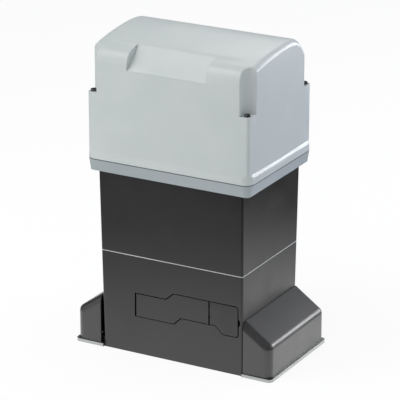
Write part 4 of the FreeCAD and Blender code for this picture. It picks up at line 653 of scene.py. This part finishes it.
def makeStorageCapacitors(values):
    # sleeved cans with a rolled groove over the foot and a sunk top
    low, high, top = boardCorners()
    groove = values["groove"]
    grid = bmesh.new()
    for x, y, radius, height in values["cans"]:
        sunk = height - values["rimDepth"]
        outline = [(0, 0), (radius, 0), (radius, groove["from"]),
                   (radius - groove["depth"], groove["deepest"]), (radius, groove["to"]),
                   (radius, height - values["shoulder"]), (radius - values["shoulder"], height),
                   (radius - values["rimWidth"], sunk), (0, sunk)]
        turnedAt(grid, outline, (low.x + x, low.y + y, top), values["steps"])
    newPiece("storage_capacitors", grid, sleeveBlack)


resistorRow = {
    "left": 44.0,
    "front": 32.0,
    "count": 9,
    "pitch": 5.0,
    "length": 7.0,
    "radius": 1.25,
    # shares of the radius, and how far from either end
    "end": [(0.0, 0.0), (0.8, 0.1), (1.0, 0.7), (1.0, 1.6), (0.85, 2.0)],
    "steps": 12,
}


def makeResistors(values):
    # a row of lacquered bodies, thicker over the caps at both ends
    low, high, top = boardCorners()
    radius = values["radius"]
    outline = [(share * radius, depth) for share, depth in values["end"]]
    outline += [(share * radius, values["length"] - depth) for share, depth in reversed(values["end"])]
    grid = bmesh.new()
    for i in range(values["count"]):
        x = low.x + values["left"] + i * values["pitch"]
        turnedAt(grid, outline, (x, low.y + values["front"], top + radius), values["steps"], turn=alongY)
    newPiece("resistors", grid, resistorBeige)


lampRow = {
    "left": 94.0,
    "front": 27.0,
    "count": 3,
    "pitch": 6.0,
    "radius": 1.6,
    "height": 5.0,
    "flange": {"width": 0.4, "height": 0.8, "step": 0.1},
    # out from the middle and down from the top, as shares of the radius
    "dome": [(1.0, 1.0), (0.87, 0.5), (0.5, 0.13), (0.0, 0.0)],
    "steps": 16,
}


def makeIndicatorLamps(values):
    # round-topped lamps on a flange
    low, high, top = boardCorners()
    radius = values["radius"]
    flange = values["flange"]
    outline = [(0, 0), (radius + flange["width"], 0), (radius + flange["width"], flange["height"]),
               (radius, flange["height"] + flange["step"])]
    outline += [(out * radius, values["height"] - down * radius) for out, down in values["dome"]]
    grid = bmesh.new()
    for i in range(values["count"]):
        x = low.x + values["left"] + i * values["pitch"]
        turnedAt(grid, outline, (x, low.y + values["front"], top), values["steps"])
    newPiece("indicator_lamps", grid, lampRed)


plugHeader = {
    "left": 52.0,
    "front": 72.0,
    "ways": 8,
    "pitch": 2.5,
    "ends": 1.0,
    "width": 6.0,
    "height": 7.0,
    "floor": 2.0,
    "wall": 1.0,
    "overlap": 0.2,
    "bevel": 0.2,
}


def makePlugHeader(values):
    # a moulded floor with a wall behind
    low, high, top = boardCorners()
    left = low.x + values["left"]
    front = low.y + values["front"]
    right = left + values["ways"] * values["pitch"] + 2 * values["ends"]
    back = front + values["width"]
    floor = top + values["floor"]
    grid = bmesh.new()
    blockAt(grid, (left, front, top), (right, back, floor), values["bevel"])
    blockAt(grid, (left, back - values["wall"], floor - values["overlap"]),
            (right, back, top + values["height"]), values["bevel"])
    newPiece("plug_header", grid, headerWhite)


headerPins = {"header": plugHeader, "width": 0.64, "front": 2.4, "back": 3.0, "bevel": 0.12}


def makeHeaderPins(values):
    # one square pin for each way, standing in the header's floor
    low, high, top = boardCorners()
    header = values["header"]
    front = low.y + header["front"]
    foot = top + header["floor"] - header["overlap"]
    grid = bmesh.new()
    for i in range(header["ways"]):
        left = low.x + header["left"] + header["ends"] + header["pitch"] * (i + 0.5) - values["width"] / 2
        blockAt(grid, (left, front + values["front"], foot),
                (left + values["width"], front + values["back"], top + header["height"]), values["bevel"])
    newPiece("header_pins", grid, materials["zinc_steel"])


boardScrews = {"inset": 5.0, "radius": 2.9, "height": 2.0, "slot": 0.8, "steps": 16}


def makeBoardScrews(values):
    low, high, top = boardCorners()
    inset = values["inset"]
    grid = bmesh.new()
    for x in (low.x + inset, high.x - inset):
        for y in (low.y + inset, high.y - inset):
            slottedHead(grid, (x, y, top), values)
    newPiece("board_screws", grid, materials["zinc_steel"])


clampScrews = {
    "pitch": 6.0,
    "gap": 8.0,
    "front": 2.2,
    "radius": 1.9,
    "height": 0.7,
    "slot": 0.6,
    "steps": 12,
}


def makeClampScrews(values):
    # one clamp screw in front of every mouth of the two strips
    low, high = [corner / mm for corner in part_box("terminal_blocks")]
    ways = round((high.x - low.x - values["gap"]) / values["pitch"] / 2)
    grid = bmesh.new()
    for strip in (0, 1):
        left = low.x + strip * (ways * values["pitch"] + values["gap"])
        for i in range(ways):
            slottedHead(grid, (left + values["pitch"] * (i + 0.5), low.y + values["front"], high.z), values)
    newPiece("clamp_screws", grid, materials["zinc_steel"])


# The spring of the release

spring = {"node": "dog_spring", "joint": "dog_slide", "body": "output"}


def makeSpring(values):
    # the imported spring, copied into a piece of its own that moves with the output
    grid = bmesh.new()
    grid.from_mesh(frame["nodes"][values["node"]].data)
    piece = newPiece("release_spring", grid, materials["spring_steel"], values["body"])
    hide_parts(values["node"])
    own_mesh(piece)


# Camera, floor and lights

cameraView = {
    "azimuth": math.radians(28.97),
    "elevation": math.radians(19.89),
    "aim": Vector((0.0004676, 0.0, 0.1876985)),
    "distance": 3.130,
    "sensor": 36.0,
    "focalPx": 2562,         # focal length in pixels of a frame that is 400 wide
    "framePx": 400,
    "farthest": 50.0,
}


def setCamera(view):
    data = bpy.data.cameras.new("camera")
    data.sensor_width = view["sensor"]
    data.lens = view["sensor"] * view["focalPx"] / view["framePx"]
    data.clip_end = view["farthest"]
    camera = bpy.data.objects.new("camera", data)
    flat = math.cos(view["elevation"])
    back = Vector((math.sin(view["azimuth"]) * flat, -math.cos(view["azimuth"]) * flat,
                   math.sin(view["elevation"])))
    camera.location = view["aim"] + back * view["distance"]
    camera.rotation_euler = (math.pi / 2 - view["elevation"], 0.0, view["azimuth"])
    bpy.context.scene.collection.objects.link(camera)
    bpy.context.scene.camera = camera


studio = {
    "floorHalf": 6.0,
    "floorWhite": 0.92,
    "floorGlow": 0.86,
    "floorStrength": 1.03,
    # the floor's reflection dims between these distances from the middle, in metres
    "sheenNear": 0.2,
    "sheenFar": 0.62,
    "sheenBright": 1.82,
    "sheenDim": 0.02,
    "skyLight": 0.44,
    "skySheen": 0.1,
    "skySeen": 1.0,
    # places and sizes in metres, power in watts
    "lamps": [
        {"name": "topSoftbox", "place": (-0.5, -1.0, 2.2), "size": 1.6, "power": 22.0, "colour": (1, 1, 1)},
        {"name": "frontLeftSoftbox", "place": (-1.05, -0.82, 0.6), "size": 0.8, "power": 3.3,
         "colour": (1, 1, 0.99)},
        {"name": "rightSoftbox", "place": (2.0, 0.9, 1.3), "size": 1.2, "power": 6.5,
         "colour": (0.86, 0.92, 1.0)},
        {"name": "rearRightSoftbox", "place": (0.9, 1.4, 0.55), "size": 0.9, "power": 9.0,
         "colour": (0.66, 0.72, 1.0), "diffuseOnly": True},
        {"name": "rearRightCard", "place": (0.75, 1.15, 0.42), "size": 0.5, "power": 9.0,
         "colour": (1, 1, 1), "glossOnly": True},
        {"name": "roofCard", "place": (-0.45, 1.5, 1.5), "size": 0.9, "power": 6.5,
         "colour": (1, 1, 1), "glossOnly": True},
        {"name": "slopeCard", "place": (0.63, 1.3, 0.75), "size": 0.5, "power": 1.1,
         "colour": (1, 1, 1), "glossOnly": True},
        {"name": "frontLeftCard", "place": (-0.47, -0.7, 0.03), "size": 0.3, "power": 0.6,
         "colour": (1, 1, 1), "glossOnly": True},
    ],
}


def seenThrough(tree, path):
    # 1 where the camera looks at a surface itself or through glass
    return addNode(tree, "ShaderNodeMath", settings={"operation": "MAXIMUM"},
                   links={0: path.outputs["Is Camera Ray"], 1: path.outputs["Is Transmission Ray"]})


def makeStage(values):
    # the white sweep shows white and keeps the object's soft shadow; what it throws back into glossy
    # surfaces is brightest near the object and falls off, as under a lit table
    grid = bmesh.new()
    bmesh.ops.create_grid(grid, x_segments=1, y_segments=1, size=values["floorHalf"])
    floor = meshObject("floor", grid)
    material, tree, place = newMaterial("white sweep")
    matte = addNode(tree, "ShaderNodeBsdfDiffuse", values={"Color": [values["floorWhite"]] * 3 + [1.0]})
    path = addNode(tree, "ShaderNodeLightPath")
    away = addNode(tree, "ShaderNodeVectorMath", settings={"operation": "LENGTH"}, links={0: place})
    sheen = addNode(tree, "ShaderNodeMapRange", links={"Value": away.outputs["Value"]},
                    values={"From Min": values["sheenNear"], "From Max": values["sheenFar"],
                            "To Min": values["sheenBright"], "To Max": values["sheenDim"]})
    strength = addNode(tree, "ShaderNodeMix", settings={"data_type": "FLOAT"},
                       values={valueA: values["floorStrength"]},
                       links={0: path.outputs["Is Glossy Ray"], valueB: sheen})
    glow = addNode(tree, "ShaderNodeMath", settings={"operation": "MULTIPLY"},
                   values={1: values["floorGlow"]}, links={0: seenThrough(tree, path)})
    share = addNode(tree, "ShaderNodeMath", settings={"operation": "MAXIMUM"},
                    links={0: glow, 1: path.outputs["Is Glossy Ray"]})
    light = addNode(tree, "ShaderNodeEmission", links={"Strength": strength})
    mixed = addNode(tree, "ShaderNodeMixShader", links={0: share, 1: matte, 2: light})
    addNode(tree, "ShaderNodeOutputMaterial", links={"Surface": mixed})
    floor.data.materials.append(material)


def makeSky(values):
    # white where it is seen, and dimmer as a light and in reflections
    world = bpy.data.worlds.new("studio")
    world.use_nodes = True
    tree = world.node_tree
    tree.nodes.clear()
    path = addNode(tree, "ShaderNodeLightPath")
    plain = addNode(tree, "ShaderNodeMix", settings={"data_type": "FLOAT"},
                    values={valueA: values["skyLight"], valueB: values["skySheen"]},
                    links={0: path.outputs["Is Glossy Ray"]})
    strength = addNode(tree, "ShaderNodeMix", settings={"data_type": "FLOAT"},
                       values={valueB: values["skySeen"]},
                       links={0: seenThrough(tree, path), valueA: plain})
    sky = addNode(tree, "ShaderNodeBackground", values={"Color": [1.0, 1.0, 1.0, 1.0]},
                  links={"Strength": strength})
    addNode(tree, "ShaderNodeOutputWorld", links={"Surface": sky})
    bpy.context.scene.world = world


def makeLamps(values):
    # softboxes light the object, and cards only show in its gloss
    for lamp in values["lamps"]:
        data = bpy.data.lights.new(lamp["name"], "AREA")
        data.size = lamp["size"]
        data.energy = lamp["power"]
        data.color = lamp["colour"]
        light = bpy.data.objects.new(lamp["name"], data)
        light.location = lamp["place"]
        aim = cameraView["aim"] - Vector(lamp["place"])
        light.rotation_euler = aim.to_track_quat("-Z", "Y").to_euler()
        light.visible_camera = False
        light.visible_diffuse = not lamp.get("glossOnly", False)
        light.visible_glossy = not lamp.get("diffuseOnly", False)
        bpy.context.scene.collection.objects.link(light)


bpy.context.scene.view_settings.view_transform = "Standard"
setCamera(cameraView)
makeStage(studio)
makeSky(studio)
makeLamps(studio)
print("camera, floor and lights are set")
dressNodes()
print("finishes are on the nodes")
makeHood(roof)
print("the hood has its roof")
makeChipPins(chipPins)
makeFuseCaps(fuseCaps)
makeStorageCapacitors(storageCapacitors)
makeResistors(resistorRow)
makeIndicatorLamps(lampRow)
makePlugHeader(plugHeader)
makeHeaderPins(headerPins)
makeBoardScrews(boardScrews)
makeClampScrews(clampScrews)
print("the control board has its small parts")
makeSpring(spring)
print("the release spring is in place")
